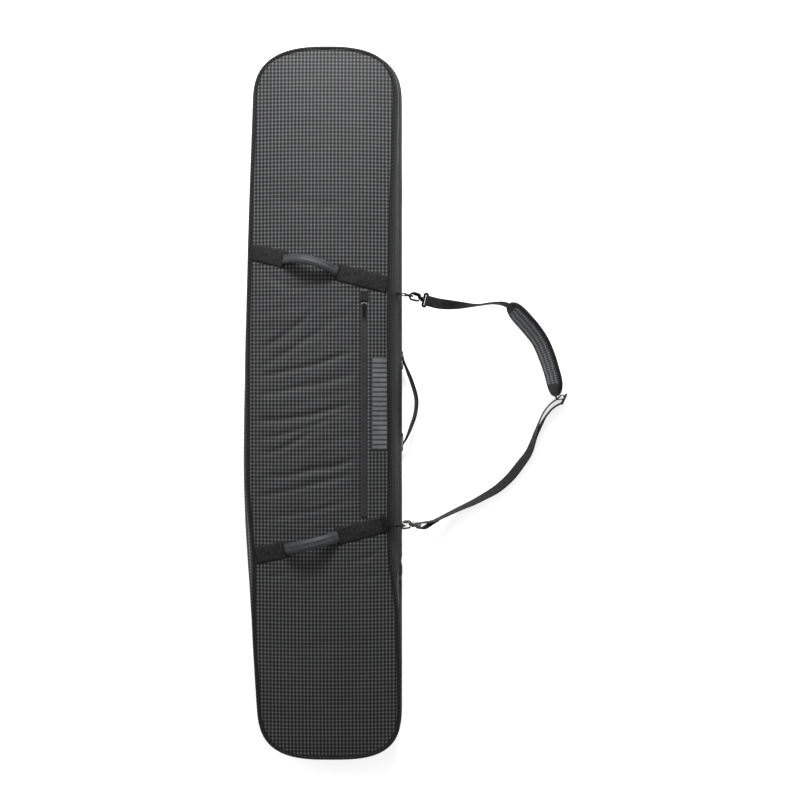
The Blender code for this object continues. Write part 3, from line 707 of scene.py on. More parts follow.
# Painted shade: near-black for the thin tubes along the front piping's seams and down the pocket's fold, where shade
# falls.
SEAM_SHADE = smooth_plastic("seam_shadow", (0.004, 0.004, 0.004), 0.9)
THREAD = smooth_plastic("thread", (0.045, 0.046, 0.048), 0.7)
DARK_THREAD = smooth_plastic("dark_thread", (0.020, 0.020, 0.021), 0.7)
TAPE = smooth_plastic("zip_tape", (0.021, 0.021, 0.023), 0.38, coat=0.15)
TEETH = smooth_plastic("zip_teeth", (0.007, 0.007, 0.008), 0.30)
PATCH = smooth_plastic("patch_rubber", (0.110, 0.114, 0.118), 0.55)
PATCH_LOW = smooth_plastic("patch_ground", (0.030, 0.031, 0.032), 0.60)
METAL = dark_metal("dark_metal", 0.014, 0.34)
# Painted highlight: the lower hook is the same black nickel as the upper one, given a much lighter base colour and
# less roughness to stand in for its bright reflections.
HIGHLIT_METAL = dark_metal("highlight_metal", 0.10, 0.22)
BUCKLE = smooth_plastic("buckle_nylon", (0.010, 0.010, 0.011), 0.36)
FOAM = foam_material("foam", 0.16)
LINING = lining_material("lining", 0.085)


# ---- front panel: cloth over a padded board ---------------------------------
FRONT_ROWS_SIDE = 132
FRONT_ROWS_CAP = 16
FRONT_COLUMNS = 44
CLOTH_MARGIN = 0.0022                             # from the piping's line to the cloth's edge
CLOTH_FRAMES = 22


def front_rows():
    """Plan rows of the front panel from the bottom end to the top end."""
    rows = []
    high = TOP_END - FRONT_INSET_END - CLOTH_MARGIN - CAP_START
    for sign, squareness in ((-1, 3.0), (1, 2.6)):
        cap = []
        for step in range(1, FRONT_ROWS_CAP + 1):
            angle = math.pi / 2 * step / FRONT_ROWS_CAP * 0.93
            share = math.cos(angle) ** (2 / squareness)
            rise = math.sin(angle) ** (2 / squareness)
            cap.append((sign * (CAP_START + high * rise), share))
        rows.append(list(reversed(cap)) if sign < 0 else cap)
    sides = [(-CAP_START + 2 * CAP_START * k / FRONT_ROWS_SIDE, 1.0)
             for k in range(FRONT_ROWS_SIDE + 1)]
    return [*rows[0], *sides, *rows[1]]


# Furrows of the slack fabric between the handles: two ends (x, y), half width and depth
FURROWS = ((-0.146, 0.120, -0.020, 0.214, 0.0075, 0.0034),
           (-0.150, 0.080, 0.030, 0.190, 0.0080, 0.0026),
           (-0.166, 0.058, 0.076, 0.118, 0.0070, 0.0030),
           (-0.160, 0.020, 0.080, 0.066, 0.0080, 0.0028),
           (-0.161, -0.046, 0.076, 0.002, 0.0075, 0.0036),
           (-0.150, -0.082, 0.040, -0.030, 0.0065, 0.0024),
           (-0.150, -0.120, -0.010, -0.058, 0.0075, 0.0034),
           (-0.138, -0.172, 0.084, -0.128, 0.0080, 0.0036),
           (-0.160, -0.214, 0.080, -0.160, 0.0075, 0.0028),
           (-0.120, -0.262, 0.060, -0.222, 0.0085, 0.0022),
           (0.106, 0.020, 0.112, 0.180, 0.0060, 0.0014),
           (0.100, -0.226, 0.140, -0.236, 0.0060, 0.0020),
           (0.060, -0.365, 0.150, -0.330, 0.0070, 0.0024),
           (0.080, -0.400, 0.160, -0.385, 0.0075, 0.0020),
           (-0.140, 0.300, -0.030, 0.262, 0.0100, 0.0018),
           (-0.150, -0.400, -0.060, -0.384, 0.0090, 0.0020),
           (-0.120, 0.470, 0.060, 0.452, 0.0140, 0.0012),
           (-0.060, -0.560, 0.120, -0.548, 0.0160, 0.0012),
           (0.000, -0.690, 0.130, -0.682, 0.0140, 0.0012))


def furrow(x, y, x0, y0, x1, y1, wide, deep):
    """Depth of one furrow at a point: a soft groove along a line, faded at both ends."""
    run = math.hypot(x1 - x0, y1 - y0)
    ux, uy = (x1 - x0) / run, (y1 - y0) / run
    along = (x - x0) * ux + (y - y0) * uy
    sway = 0.005 * wave(x, y0, 0.06, seed=y0 * 40) + 0.006 * math.sin(math.pi * along / run)
    across = (y - y0) * ux - (x - x0) * uy + sway
    fade = soft_step(-0.02, 0.05, along) * (1 - soft_step(run - 0.06, run + 0.02, along))
    return deep * fade * math.exp(-(across / wide) ** 2)


def slack_at(y):
    """1 where the fabric is slack, between the handles, down to 0 at both ends."""
    return soft_step(-0.46, -0.26, y) * (1 - soft_step(0.22, 0.40, y))


def loft(x, y):
    """How far the slack fabric stands above its foam, before it is creased."""
    calm = wave(x, y, 0.13, 60, 1.5, 7.7) + 0.5 * wave(x, y, 0.05, 15, 2.0, 3.1)
    return 0.0018 + 0.0026 * slack_at(y) + 0.0011 * calm


def creases(x, y):
    """Height of the creases that are pressed into the settled fabric."""
    fine = wave(x, y, 0.016, 14, 4.5, 1.3) + 0.6 * wave(x, y, 0.030, 8, 3.0, 5.9)
    height = (0.0003 + 0.0008 * slack_at(y)) * fine
    for line in FURROWS:
        if min(line[1], line[3]) - 0.03 < y < max(line[1], line[3]) + 0.03:
            height -= furrow(x, y, *line)
    return height


def rim_fade(x, y):
    """0 along the panel's sewn edge and the pocket's zip, 1 well away from both."""
    left, right = front_sides(y)
    edge = min(x - left, right - x, TOP_END - FRONT_INSET_END - abs(y))
    beside = max(abs(x - POCKET_X) - 0.0095, 0.0)
    beyond = max(POCKET_ENDS[0] - 0.01 - y, y - POCKET_ENDS[1] - 0.03, 0.0)
    return soft_step(0.0, 0.05, edge) * soft_step(0.0, 0.026, math.hypot(beside, beyond))


def front_panel():
    rows = []
    for y, share in front_rows():
        left, right = front_sides(y, CLOTH_MARGIN)
        middle, half = (left + right) / 2, (right - left) / 2 * share
        row = []
        for k in range(FRONT_COLUMNS + 1):
            x = middle + half * (-1 + 2 * k / FRONT_COLUMNS)
            row.append((x + CX, y, front_z(x, y) - 0.0006 + loft(x, y) * rim_fade(x, y)))
        rows.append(row)
    panel = grid("front_cloth", rows,
                 lambda r, c: (rows[r][c][0], rows[r][c][1]), FABRIC)
    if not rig.quick():
        settle_front(panel, len(rows), FRONT_COLUMNS + 1)
    smooth = panel.modifiers.new("smooth", "SUBSURF")
    smooth.levels = 1 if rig.quick() else 2
    smooth.render_levels = smooth.levels
    apply_modifiers(panel)
    for corner in panel.data.vertices:
        x, y = corner.co.x - CX, corner.co.y
        pressed = corner.co.z + creases(x, y) * rim_fade(x, y)
        corner.co.z = max(pressed, front_z(x, y) - 0.0007)
    panel.data.update()
    return panel


def apply_modifiers(part):
    bpy.context.view_layer.update()
    graph = bpy.context.evaluated_depsgraph_get()
    data = bpy.data.meshes.new_from_object(part.evaluated_get(graph), preserve_all_data_layers=True,
                                           depsgraph=graph)
    part.modifiers.clear()
    part.data = data


def settle_front(panel, rows, columns):
    """Cloth simulation: the panel, cut a little large, settles on its foam."""
    data = panel.data
    pins = panel.vertex_groups.new(name="pins")
    slack = panel.vertex_groups.new(name="slack")
    for r in range(rows):
        for c in range(columns):
            index = r * columns + c
            spot = data.vertices[index].co
            edge = r in (0, rows - 1) or c in (0, columns - 1)
            x = spot.x - CX
            sewn = abs(x - POCKET_X) < 0.010 and POCKET_ENDS[0] < spot.y < POCKET_ENDS[1] + 0.03
            pins.add([index], 1.0 if edge or sewn else 0.0, "REPLACE")
            loose = soft_step(-0.45, -0.25, spot.y) * (1 - soft_step(0.20, 0.42, spot.y))
            slack.add([index], 0.30 + 0.70 * loose, "REPLACE")
    bed_data = data.copy()
    for corner in bed_data.vertices:
        corner.co.z = max(corner.co.z - 0.0012, front_z(corner.co.x - CX, corner.co.y) - 0.0014)
    bed = bpy.data.objects.new("bed", bed_data)
    bpy.context.scene.collection.objects.link(bed)
    bed.modifiers.new("hit", "COLLISION")
    bed.collision.thickness_outer = 0.001
    bed.collision.cloth_friction = 20
    cloth = panel.modifiers.new("cloth", "CLOTH")
    cloth.settings.vertex_group_mass = "pins"
    cloth.settings.pin_stiffness = 1.0
    cloth.settings.vertex_group_shrink = "slack"
    cloth.settings.shrink_min = 0.0
    cloth.settings.shrink_max = -0.012
    cloth.settings.quality = 5
    cloth.settings.mass = 0.25
    cloth.settings.tension_stiffness = 20
    cloth.settings.compression_stiffness = 20
    cloth.settings.shear_stiffness = 8
    cloth.settings.bending_stiffness = 0.6
    cloth.settings.air_damping = 3
    cloth.collision_settings.distance_min = 0.001
    cloth.collision_settings.use_self_collision = False
    scene = bpy.context.scene
    for number in range(1, CLOTH_FRAMES + 1):
        scene.frame_set(number)
    apply_modifiers(panel)
    scene.frame_set(1)
    bpy.data.objects.remove(bed, do_unlink=True)


# ---- seams, piping and gussets ----------------------------------------------
def ring_vectors(ring, height):
    return [Vector((x + CX, y, height(x, y))) for x, y in ring]


def make_piping(name, ring, body, replaced, radius):
    ripple = [p + Vector((0, 0, 0.0006 * wave(p.x, p.y, 0.03, seed=2.0))) for p in ring]
    part = sweep(name, ripple, lambda k, share: circle(radius, 12), PIPING, closed=True)
    place_on(part, body, "piping", replaced)


def stitches(name, route, pitch, long, body, material=THREAD, wide=0.0009, high=0.0005):
    """A row of sewn stitches along a route: small rounded bars, each a step apart."""
    mesh = bmesh.new()
    for spot, ahead in places_along(route, pitch / 2, pitch):
        side = ahead.cross(Vector((0, 0, 1))).normalized()
        turn = turned_to(ahead, side, side.cross(ahead))
        bmesh.ops.create_icosphere(mesh, subdivisions=1, radius=0.5,
                                   matrix=Matrix.Translation(spot) @ turn
                                   @ Matrix.Diagonal((long, wide, high, 1)))
    return place_on(from_bmesh(name, mesh, material), body, "piping")


def pucker(x, y, share, seed):
    """Ripples of a gusset: short ones at its seams, deep folds near the lower handle."""
    seam = abs(share - 0.5) * 2
    short = wave(x, y, 0.018, 90, 1.0, seed) * seam ** 2
    long = wave(x, y, 0.09, 90, 1.0, seed + 3)
    deep = math.exp(-((y + 0.372) / 0.045) ** 2) * (x > 0)
    folds = wave(x * 6, y, 0.011, 35, 1.6, seed + 5) * deep
    return 0.0007 * short + 0.0012 * long * (1 - seam) + 0.0036 * folds * (1 - seam ** 4)


STRAIGHT = 0.66                                   # the long walls face straight out up to here


def outward(spot):
    """Level direction out of the bag's wall at a place on it."""
    past_straight = spot.y - max(min(spot.y, STRAIGHT), -STRAIGHT)
    return Vector((spot.x - CX, past_straight * 1.4, 0.0)).normalized()


def gusset(name, rings, body, slot, replaced, seed, steps, plain):
    """A wall lofted through level rings of matching points, rippled like sewn cloth."""
    rows = []
    spans = len(rings) - 1
    total = spans * steps
    for level in range(total + 1):
        span, part = min(level // steps, spans - 1), level / steps - min(level // steps, spans - 1)
        share = level / total
        row = []
        for low, high in zip(rings[span], rings[span + 1]):
            spot = low.lerp(high, part)
            row.append(spot + outward(spot) * pucker(spot.x - CX, spot.y, share, seed))
        rows.append(row)
    run = lengths([*rows[0], rows[0][0]])
    rise = lengths([row[0] for row in rows])
    sides = len(rings[0])

    def pick(_, column):
        spot = rows[0][column % sides]
        return 0 if spot.x - CX < ZIP_FROM else 1

    part = grid(name, rows, lambda r, c: (run[c], rise[r]), (FABRIC, plain), wrap=True,
                faces_material=pick)
    normals_out(part, lambda at: Vector((CX, max(min(at.y, 0.6), -0.6), at.z)))
    solidify(part, 0.0012)
    place_on(part, body, slot, replaced)
    for column in range(sides):
        if pick(0, column) != pick(0, column + 1):
            strip_on_wall(f"{name}_seam_{column}", [row[column] for row in rows], body)
    return part


def strip_on_wall(name, route, body):
    """Binding tape up the gusset, over the seam between its check and its plain cloth."""
    out = outward(route[0])
    part = sweep(name, [spot + out * 0.0006 for spot in route],
                 lambda k, share: flat_section(0.014, 0.0012, 6), BINDING, up=out)
    place_on(part, body, "piping")


COVER_BULGE = 0.0022


def make_shell():
    back = ring_vectors(even(BACK_INSET - 0.0005), lambda x, y: PIPING_Z + 0.0015)
    low = ring_vectors(even(0.006), lambda x, y: 0.016)
    mid = ring_vectors(even(0.0016), lambda x, y: 0.030)
    wide = ring_vectors(even(0.0), lambda x, y: WIDEST_Z)
    top = ring_vectors(even(ZIP_INSET), lambda x, y: ZIP_Z - TAPE_HIGH)
    gusset("base_wall", [back, low, mid, wide, top], "root", "check_fabric", "base_gusset", 11.0, 4,
           PLAIN_LIGHT)
    bottom = ring_vectors(even(ZIP_INSET), lambda x, y: ZIP_Z + TAPE_HIGH)
    rim = ring_vectors(front_ring(-0.0008), lambda x, y: front_z(x, y) - 0.0022)
    middle = [a.lerp(b, 0.5) + outward(a) * COVER_BULGE for a, b in zip(bottom, rim)]
    gusset("cover_wall", [bottom, middle, rim], "cover", "check_fabric", "cover_gusset", 23.0, 7, PLAIN)
    make_piping("front_cord", ring_vectors(front_ring(), front_z), "cover", "front_piping", 0.0028)
    make_piping("back_cord", ring_vectors(even(BACK_INSET), lambda x, y: PIPING_Z), "root",
                "back_piping", 0.0028)
    # Painted shade: thin near-black tubes on both sides of the front piping stand in for the shade along its seam.
    for name, inset, lift, radius in (("seam_shade_inner", 0.0042, 0.0002, 0.0011),
                                      ("seam_shade_outer", -0.0036, -0.0026, 0.0012)):
        ring = [Vector((x + CX, y, front_z(x, y) + lift)) for x, y in front_ring(inset)]
        part = sweep(name, ring, lambda k, share: circle(radius, 6), SEAM_SHADE, closed=True)
        place_on(part, "cover", "piping")


SPINE_LEVELS = 12


def make_spine():
    """Cloth that joins both halves along the left side, and folds when the cover opens."""
    ring = even(ZIP_INSET)
    picked = [k for k, (x, y) in enumerate(ring) if x < ZIP_FROM + 0.006]
    rows = []
    for level in range(SPINE_LEVELS + 1):
        share = level / SPINE_LEVELS
        z = ZIP_Z - TAPE_HIGH - 0.0006 + (2 * TAPE_HIGH + 0.0012) * share
        out = 0.0010 * math.sin(math.pi * share)
        rows.append([Vector((ring[k][0] + CX - out, ring[k][1], z)) for k in picked])
    run = lengths(rows[0])
    part = grid("spine_cloth", rows, lambda r, c: (run[c], r * 0.0014), FABRIC)
    normals_out(part, lambda at: Vector((CX, at.y * 0.8, at.z)))
    solidify(part, 0.0012)
    apply_modifiers(part)
    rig.blend(part, "root", "cover", (SPINE.x, 0, ZIP_Z - TAPE_HIGH), (SPINE.x, 0, ZIP_Z + TAPE_HIGH))
    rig.slot(part, "check_fabric")
    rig.replaces(part, "spine_fold_base", "spine_fold_cover")


def zip_route(z, inset=ZIP_INSET):
    """The zipped part of the outline: bottom end, right side, top end."""
    ring = even(inset)
    picked = [p for p in ring if p[0] >= ZIP_FROM]
    low = [p for p in picked if p[1] < -CAP_START]
    side = [p for p in picked if abs(p[1]) <= CAP_START and p[0] > 0]
    high = [p for p in picked if p[1] > CAP_START]
    return [Vector((x + CX, y, z)) for x, y in [*low, *side, *high]]


TOOTH_PITCH = 0.0024
TOOTH_SIZE = (0.0011, 0.0020, 0.0019)


def make_main_zip():
    for which, body, sign in (("lower", "root", -1), ("upper", "cover", 1)):
        route = zip_route(ZIP_Z + sign * (TAPE_HIGH / 2 + 0.0006))
        tape = sweep(f"zip_tape_{which}", route,
                     lambda k, share: [(a, b) for b, a in flat_section(TAPE_HIGH, 0.0011, 6)], TAPE)
        place_on(tape, body, "zipper_tape", f"zipper_tape_{which}")
        teeth_route = zip_route(ZIP_Z + sign * 0.0010, ZIP_INSET - 0.0008)
        mesh = bmesh.new()
        upward = Vector((0, 0, 1))
        for spot, ahead in places_along(teeth_route, 0.002, TOOTH_PITCH):
            lift = Matrix.Translation(spot + Vector((0, 0, -sign * 0.0002)))
            bmesh.ops.create_cube(mesh, size=1, matrix=lift
                                  @ turned_to(ahead, ahead.cross(upward), upward)
                                  @ Matrix.Diagonal((*TOOTH_SIZE, 1)))
        place_on(from_bmesh(f"zip_teeth_{which}", mesh, TEETH, smooth=False), body, "zipper_tape")
        seam = zip_route(ZIP_Z + sign * (TAPE_HIGH + 0.0020), ZIP_INSET - 0.0012)
        stitches(f"zip_stitches_{which}", seam, 0.0046, 0.0034, body, DARK_THREAD)


BACK_COLUMNS = 24


def make_back():
    """The flat back panel: one wide sheet with a slightly soft edge."""
    rows = []
    for y, share in front_rows():
        left, right = side_x(y, lambda at: BACK_INSET + 0.001, lambda at: BACK_INSET + 0.001)
        middle, half = (left + right) / 2, (right - left) / 2 * share
        y_end = y * (TOP_END - BACK_INSET - 0.002) / (TOP_END - FRONT_INSET_END)
        row = []
        for k in range(BACK_COLUMNS + 1):
            across = -1 + 2 * k / BACK_COLUMNS
            x = middle + half * across
            edge = (1 - abs(across)) * half
            lift = 0.0032 * (1 - soft_step(0.0, 0.010, edge))
            row.append((x + CX, y_end, 0.0004 + lift))
        rows.append(row)
    part = grid("back_cloth", rows, lambda r, c: (rows[r][c][0], rows[r][c][1]), FABRIC)
    part.data.flip_normals()
    place_on(part, "root", "check_fabric", "back_panel")
    solidify(part, 0.0016)


# ---- front webbing, grips and patch ------------------------------------------
class Surface:
    """Heights of the finished front panel, for what is sewn on it."""

    def __init__(self, part):
        data = part.data
        points = [v.co for v in data.vertices]
        self.tree = BVHTree.FromPolygons(points, [p.vertices for p in data.polygons])

    def z(self, x, y):
        hit = self.tree.ray_cast(Vector((x, y, 0.5)), Vector((0, 0, -1)))[0]
        return hit.z if hit else front_z(x - CX, y)


def web_point(web, share):
    start, end = Vector((web[0][0] + CX, web[0][1], 0)), Vector((web[1][0] + CX, web[1][1], 0))
    return start.lerp(end, share)


def laid_band(name, start, end, wide, thick, surface, material, steps=26, across=8, lift=0.0003):
    """A flat band that lies on the front panel between two plan points."""
    side = (end - start).normalized().cross(Vector((0, 0, 1)))
    top, bottom = [], []
    for k in range(steps + 1):
        middle = start.lerp(end, k / steps)
        upper, lower = [], []
        for j in range(across + 1):
            t = 1 - 2 * j / across
            spot = middle + side * (wide / 2 * t)
            z = surface.z(spot.x, spot.y) + lift
            rim = min(1 - abs(t), 0.25) * 4
            ends = min(k, steps - k, 1)
            upper.append(Vector((spot.x, spot.y, z + thick * (0.35 + 0.65 * rim * ends))))
            lower.append(Vector((spot.x, spot.y, z)))
        top.append(upper)
        bottom.append(lower)
    rows = [[*a, *reversed(b)] for a, b in zip(top, bottom)]
    run = (end - start).length / steps

    def uv(r, c):
        c = c % (2 * across + 2)
        column = c if c <= across else 2 * across + 1 - c
        return (wide * column / across, run * r)

    return grid(name, rows, uv, material, wrap=True, caps=True)


def sewn_lines(name, corners, surface, body, pitch=0.0036, long=0.0028, lift=0.0021,
               material=THREAD):
    """Stitches through straight runs on the front panel, between plan corners."""
    route = []
    for a, b in zip(corners, corners[1:]):
        steps = max(int((b - a).length / 0.004), 1)
        for k in range(steps):
            spot = a.lerp(b, k / steps)
            route.append(Vector((spot.x, spot.y, surface.z(spot.x, spot.y) + lift)))
    last = corners[-1]
    route.append(Vector((last.x, last.y, surface.z(last.x, last.y) + lift)))
    return stitches(name, route, pitch, long, body, material, 0.0008, 0.0005)


def box_tack(name, web, first, last, surface):
    """An X-box of stitches between two shares of a webbing's length."""
    a, b = web_point(web, first), web_point(web, last)
    side = (b - a).normalized().cross(Vector((0, 0, 1))) * (WEB_WIDE / 2 - 0.004)
    corners = [a + side, b + side, b - side, a - side, a + side, b - side, b + side, a - side]
    sewn_lines(name, corners, surface, "cover", material=DARK_THREAD)


GRIP_THICK = {"upper": 0.0056, "lower": 0.0060}
GRIP_HALF = {"upper": 0.0112, "lower": 0.0128}
SLEEVE = 0.15                                     # share of a grip's half where its rubber starts


def grip_section(which, share):
    """Half of a grip's section: webbing gathered at its sewn end, then a ridged rubber grip."""
    fullness = soft_step(0.02, SLEEVE + 0.02, share)
    rubber = soft_step(SLEEVE - 0.005, SLEEVE + 0.02, share)
    half = 0.0175 * (1 - fullness) + (GRIP_HALF[which] - 0.0012 * (1 - rubber)) * fullness
    high = 0.0012 * (1 - fullness) + (GRIP_THICK[which] - 0.0012 * (1 - rubber)) * fullness
    points = []
    for k in range(48):
        angle = 2 * math.pi * k / 48
        c, s = math.cos(angle), math.sin(angle)
        a = math.copysign(abs(c) ** 0.62, c) * half
        b = math.copysign(abs(s) ** 0.80, s) * high
        ridge = 0.0
        if s > 0:
            for middle in (-0.0048, 0.0048):
                ridge += 0.0016 * math.exp(-((a - middle) / 0.0020) ** 2)
        points.append((a, b + ridge * rubber))
    return points


GRIP_FOOT = 0.0028                                # the grip's middle line above the panel at its ends
GRIP_RISE = 0.0262
GRIP_ARCH = ((0.0, 0.0), (0.04, 0.05), (0.10, 0.26), (0.20, 0.64), (0.34, 0.91), (0.5, 1.0),
             (0.66, 0.91), (0.80, 0.64), (0.90, 0.26), (0.96, 0.05), (1.0, 0.0))


def make_grip(which, web, lean, surface):
    first, last = web_point(web, GRIP_START - 0.020), web_point(web, GRIP_END + 0.020)
    points = []
    for share, rise in GRIP_ARCH:
        spot = first.lerp(last, share)
        spot.z = surface.z(spot.x, spot.y) + GRIP_FOOT + GRIP_RISE * rise
        spot.y += lean * rise
        points.append(spot)
    route = smooth_route(points, 7)
    ahead = headings(route)
    middle = len(route) // 2
    lean_up = Vector((0, lean / 0.024, 1)).normalized()
    rows = []
    for k, (spot, along) in enumerate(zip(route, ahead)):
        share = 1 - abs(k - middle) / middle
        upward = Vector((0, 0, 1)).lerp(lean_up, soft_step(0, 0.4, share))
        side = along.cross(upward).normalized()
        above = side.cross(along)
        rows.append([spot + side * a + above * b for a, b in grip_section(which, share)])
    run = lengths(route)
    girth = lengths([*rows[middle], rows[middle][0]])
    for label, picked, end in (("left", rows[:middle + 1], 0), ("right", rows[middle:], -1)):
        count = len(picked) - 1

        def pick(r, c):
            from_end = r if end == 0 else count - 1 - r
            return 1 if from_end < SLEEVE * count else 0

        part = grid(f"grip_{which}_{label}", picked, lambda r, c: (girth[c], run[r]),
                    (GRIP, WEBBING), wrap=True, faces_material=pick)
        normals_out(part, lambda at: rows_centre(picked, at))
        start = route[end]
        toward = route[end].lerp(route[middle], 0.55)
        toward.z = start.z
        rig.blend(part, "cover", f"grip_{which}", start, toward)
        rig.slot(part, "grip")
        if label == "left":
            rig.replaces(part, f"handle_grip_{which}")


def rows_centre(rows, at):
    """Middle of the row of points nearest to a place."""
    centres = [sum(row, Vector()) / len(row) for row in rows]
    return min(centres, key=lambda c: (c - at).length)


WEB_THICK = 0.0017
TACK_HALF = 0.0165                                # half the length of a grip's bar tacks


def make_handles(surface):
    for which, web, lean in (("upper", UPPER_WEB, 0.010), ("lower", LOWER_WEB, 0.0)):
        spans = (("left", -0.012, GRIP_START + 0.004), ("right", GRIP_END - 0.004, 1.022))
        for side, a, b in spans:
            band = laid_band(f"web_{which}_{side}", web_point(web, a), web_point(web, b), WEB_WIDE,
                             WEB_THICK, surface, WEBBING)
            place_on(band, "cover", "webbing", f"handle_webbing_{which}_{side}")
        make_grip(which, web, lean, surface)
        box_tack(f"tack_{which}_left", web, GRIP_START - 0.105, GRIP_START - 0.018, surface)
        box_tack(f"tack_{which}_right", web, GRIP_END + 0.018, GRIP_END + 0.125, surface)
        if which == "lower":
            roll = laid_band("web_roll", web_point(web, 0.978), web_point(web, 1.012),
                             WEB_WIDE + 0.002, 0.0042, surface, BINDING, steps=8)
            place_on(roll, "cover", "webbing")
        for label, at in (("a", GRIP_START - 0.006), ("b", GRIP_END + 0.006)):
            middle = web_point(web, at)
            ahead = (web_point(web, 1) - web_point(web, 0)).normalized()
            side = ahead.cross(Vector((0, 0, 1))) * TACK_HALF
            for row in (-1, 0, 1):
                shift = ahead * row * 0.0012
                sewn_lines(f"bartack_{which}_{label}_{row + 1}", [middle + side + shift,
                                                                 middle - side + shift],
                           surface, "cover", 0.0016, 0.0014, 0.0024, THREAD)


PATCH_X = 0.131
PATCH_ENDS = (-0.110, 0.105)
RIB_COUNT = 19
RIB_WIDE = 0.033
RIB_PIECES = 8


def make_patch(surface):
    """A plain ribbed patch: level bars of moulded rubber on a thin ground."""
    x = PATCH_X + CX
    low, high = PATCH_ENDS
    ground = laid_band("patch_ground", Vector((x, low, 0)), Vector((x, high, 0)), 0.037, 0.0007,
                       surface, PATCH_LOW, steps=40)
    place_on(ground, "cover", "patch", "front_patch")
    pitch = (high - low - 0.006) / RIB_COUNT
    half = pitch * 0.34
    mesh = bmesh.new()
    for k in range(RIB_COUNT):
        y = low + 0.003 + pitch * (k + 0.5)
        spots = []
        for j in range(RIB_PIECES + 1):
            spot_x = x - RIB_WIDE / 2 + RIB_WIDE * j / RIB_PIECES
            spots.append((spot_x, surface.z(spot_x, y) + 0.0010))
        for (xa, za), (xb, zb) in zip(spots, spots[1:]):
            foot = [(xa, y - half, za), (xb, y - half, zb), (xb, y + half, zb), (xa, y + half, za)]
            face = [(fx, y + (fy - y) * 0.8, fz + 0.0008) for fx, fy, fz in foot]
            low_verts = [mesh.verts.new(corner) for corner in foot]
            top_verts = [mesh.verts.new(corner) for corner in face]
            mesh.faces.new(top_verts)
            for a in range(4):
                b = (a + 1) % 4
                mesh.faces.new((low_verts[a], low_verts[b], top_verts[b], top_verts[a]))
            mesh.faces.new(list(reversed(low_verts)))
    bmesh.ops.remove_doubles(mesh, verts=mesh.verts, dist=0.00001)
    place_on(from_bmesh("patch_ribs", mesh, PATCH, smooth=False), "cover", "patch")


POCKET_TAPE_WIDE = 0.015
GARAGE_ENDS = (0.2325, 0.2610)
GARAGE_WIDE = 0.021


def make_pocket(surface):
    x = POCKET_X + CX
    ends = tuple(Vector((x, y, 0)) for y in POCKET_ENDS)
    tape = laid_band("pocket_tape", *ends, POCKET_TAPE_WIDE, 0.0011, surface, TAPE, steps=70,
                     across=10)
    place_on(tape, "cover", "zipper_tape", "pocket_zipper_tape")
    route = []
    for k in range(101):
        y = ends[0].y + (ends[1].y - ends[0].y) * k / 100
        route.append(Vector((x, y, surface.z(x, y) + 0.0013)))
    for side in (-1, 1):
        lip = [p + Vector((side * 0.0021, 0, 0)) for p in route]
        part = sweep(f"pocket_lip_{'left' if side < 0 else 'right'}", lip,
                     lambda k, share: [(a * 1.9, b * 0.55) for a, b in circle(0.0010, 8)], TAPE)
        place_on(part, "cover", "zipper_tape")
    # Painted shade: a thin near-black tube beside the pocket zip's left edge stands in for the shade in its fold.
    fold_shade_route = [p + Vector((-0.0068, 0, -0.0002)) for p in route]
    part = sweep("pocket_fold_shade", fold_shade_route, lambda k, share: circle(0.0009, 6), SEAM_SHADE)
    place_on(part, "cover", "zipper_tape")
    sewn_lines("pocket_stitches", [end + Vector((0.0062, 0, 0)) for end in ends], surface, "cover",
               lift=0.0014, material=DARK_THREAD)
    low, high = (Vector((x, y, 0)) for y in GARAGE_ENDS)
    garage = laid_band("pocket_garage", low, high, GARAGE_WIDE, 0.0016, surface, BUCKLE, steps=8)
    place_on(garage, "cover", "patch", "pocket_zipper_garage")


# ---- sliders ------------------------------------------------------------------
SLIDER_HALF = 0.0042
SLIDER_LONG = 0.0130
PULL_LONG = 0.028
MAIN_PULL_LIFT = 0.0041                           # from the zip to the pull's hinge
POCKET_PULL_LIFT = 0.0047
MAIN_SLIDER_Y = {"upper": -0.3985, "lower": -0.4145}
POCKET_SLIDER_Y = 0.2225


def slab(name, outline_points, thick, material, bevel=0.0005, hole=None):
    """A plate cut to an outline in X and Y, with softened edges and an optional round hole."""
    mesh = bmesh.new()
    face = mesh.faces.new([mesh.verts.new((x, y, -thick / 2)) for x, y in outline_points])
    made = bmesh.ops.extrude_face_region(mesh, geom=[face])
    lifted = [v for v in made["geom"] if isinstance(v, bmesh.types.BMVert)]
    bmesh.ops.translate(mesh, vec=(0, 0, thick), verts=lifted)
    bmesh.ops.recalc_face_normals(mesh, faces=mesh.faces)
    part = from_bmesh(name, mesh, material, smooth=False)
    if hole:
        (hx, hy), radius = hole
        bpy.ops.mesh.primitive_cylinder_add(radius=radius, depth=thick * 4, location=(hx, hy, 0),
                                            vertices=20)
        cutter = bpy.context.object
        cut = part.modifiers.new("hole", "BOOLEAN")
        cut.operation = "DIFFERENCE"
        cut.object = cutter
        apply_modifiers(part)
        bpy.data.objects.remove(cutter, do_unlink=True)
    edge = part.modifiers.new("edges", "BEVEL")
    edge.width = bevel
    edge.segments = 2
    edge.limit_method = "ANGLE"
    apply_modifiers(part)
    part.data.shade_smooth()
    part.data.set_sharp_from_angle(angle=math.radians(50))
    return part


def rounded_plan(wide, long, waist, steps=6):
    """A rounded rectangle from y = 0 to -long, narrowed at its start by waist."""
    radius = wide * 0.4
    points = [(wide / 2 * waist, 0.0), (-wide / 2 * waist, 0.0)]
    for sign, start in ((-1, 180), (1, 270)):
        for k in range(steps + 1):
            angle = math.radians(start + 90 * k / steps)
            points.append((sign * (wide / 2 - radius) + radius * math.cos(angle),
                           -long + radius + radius * math.sin(angle)))
    return points


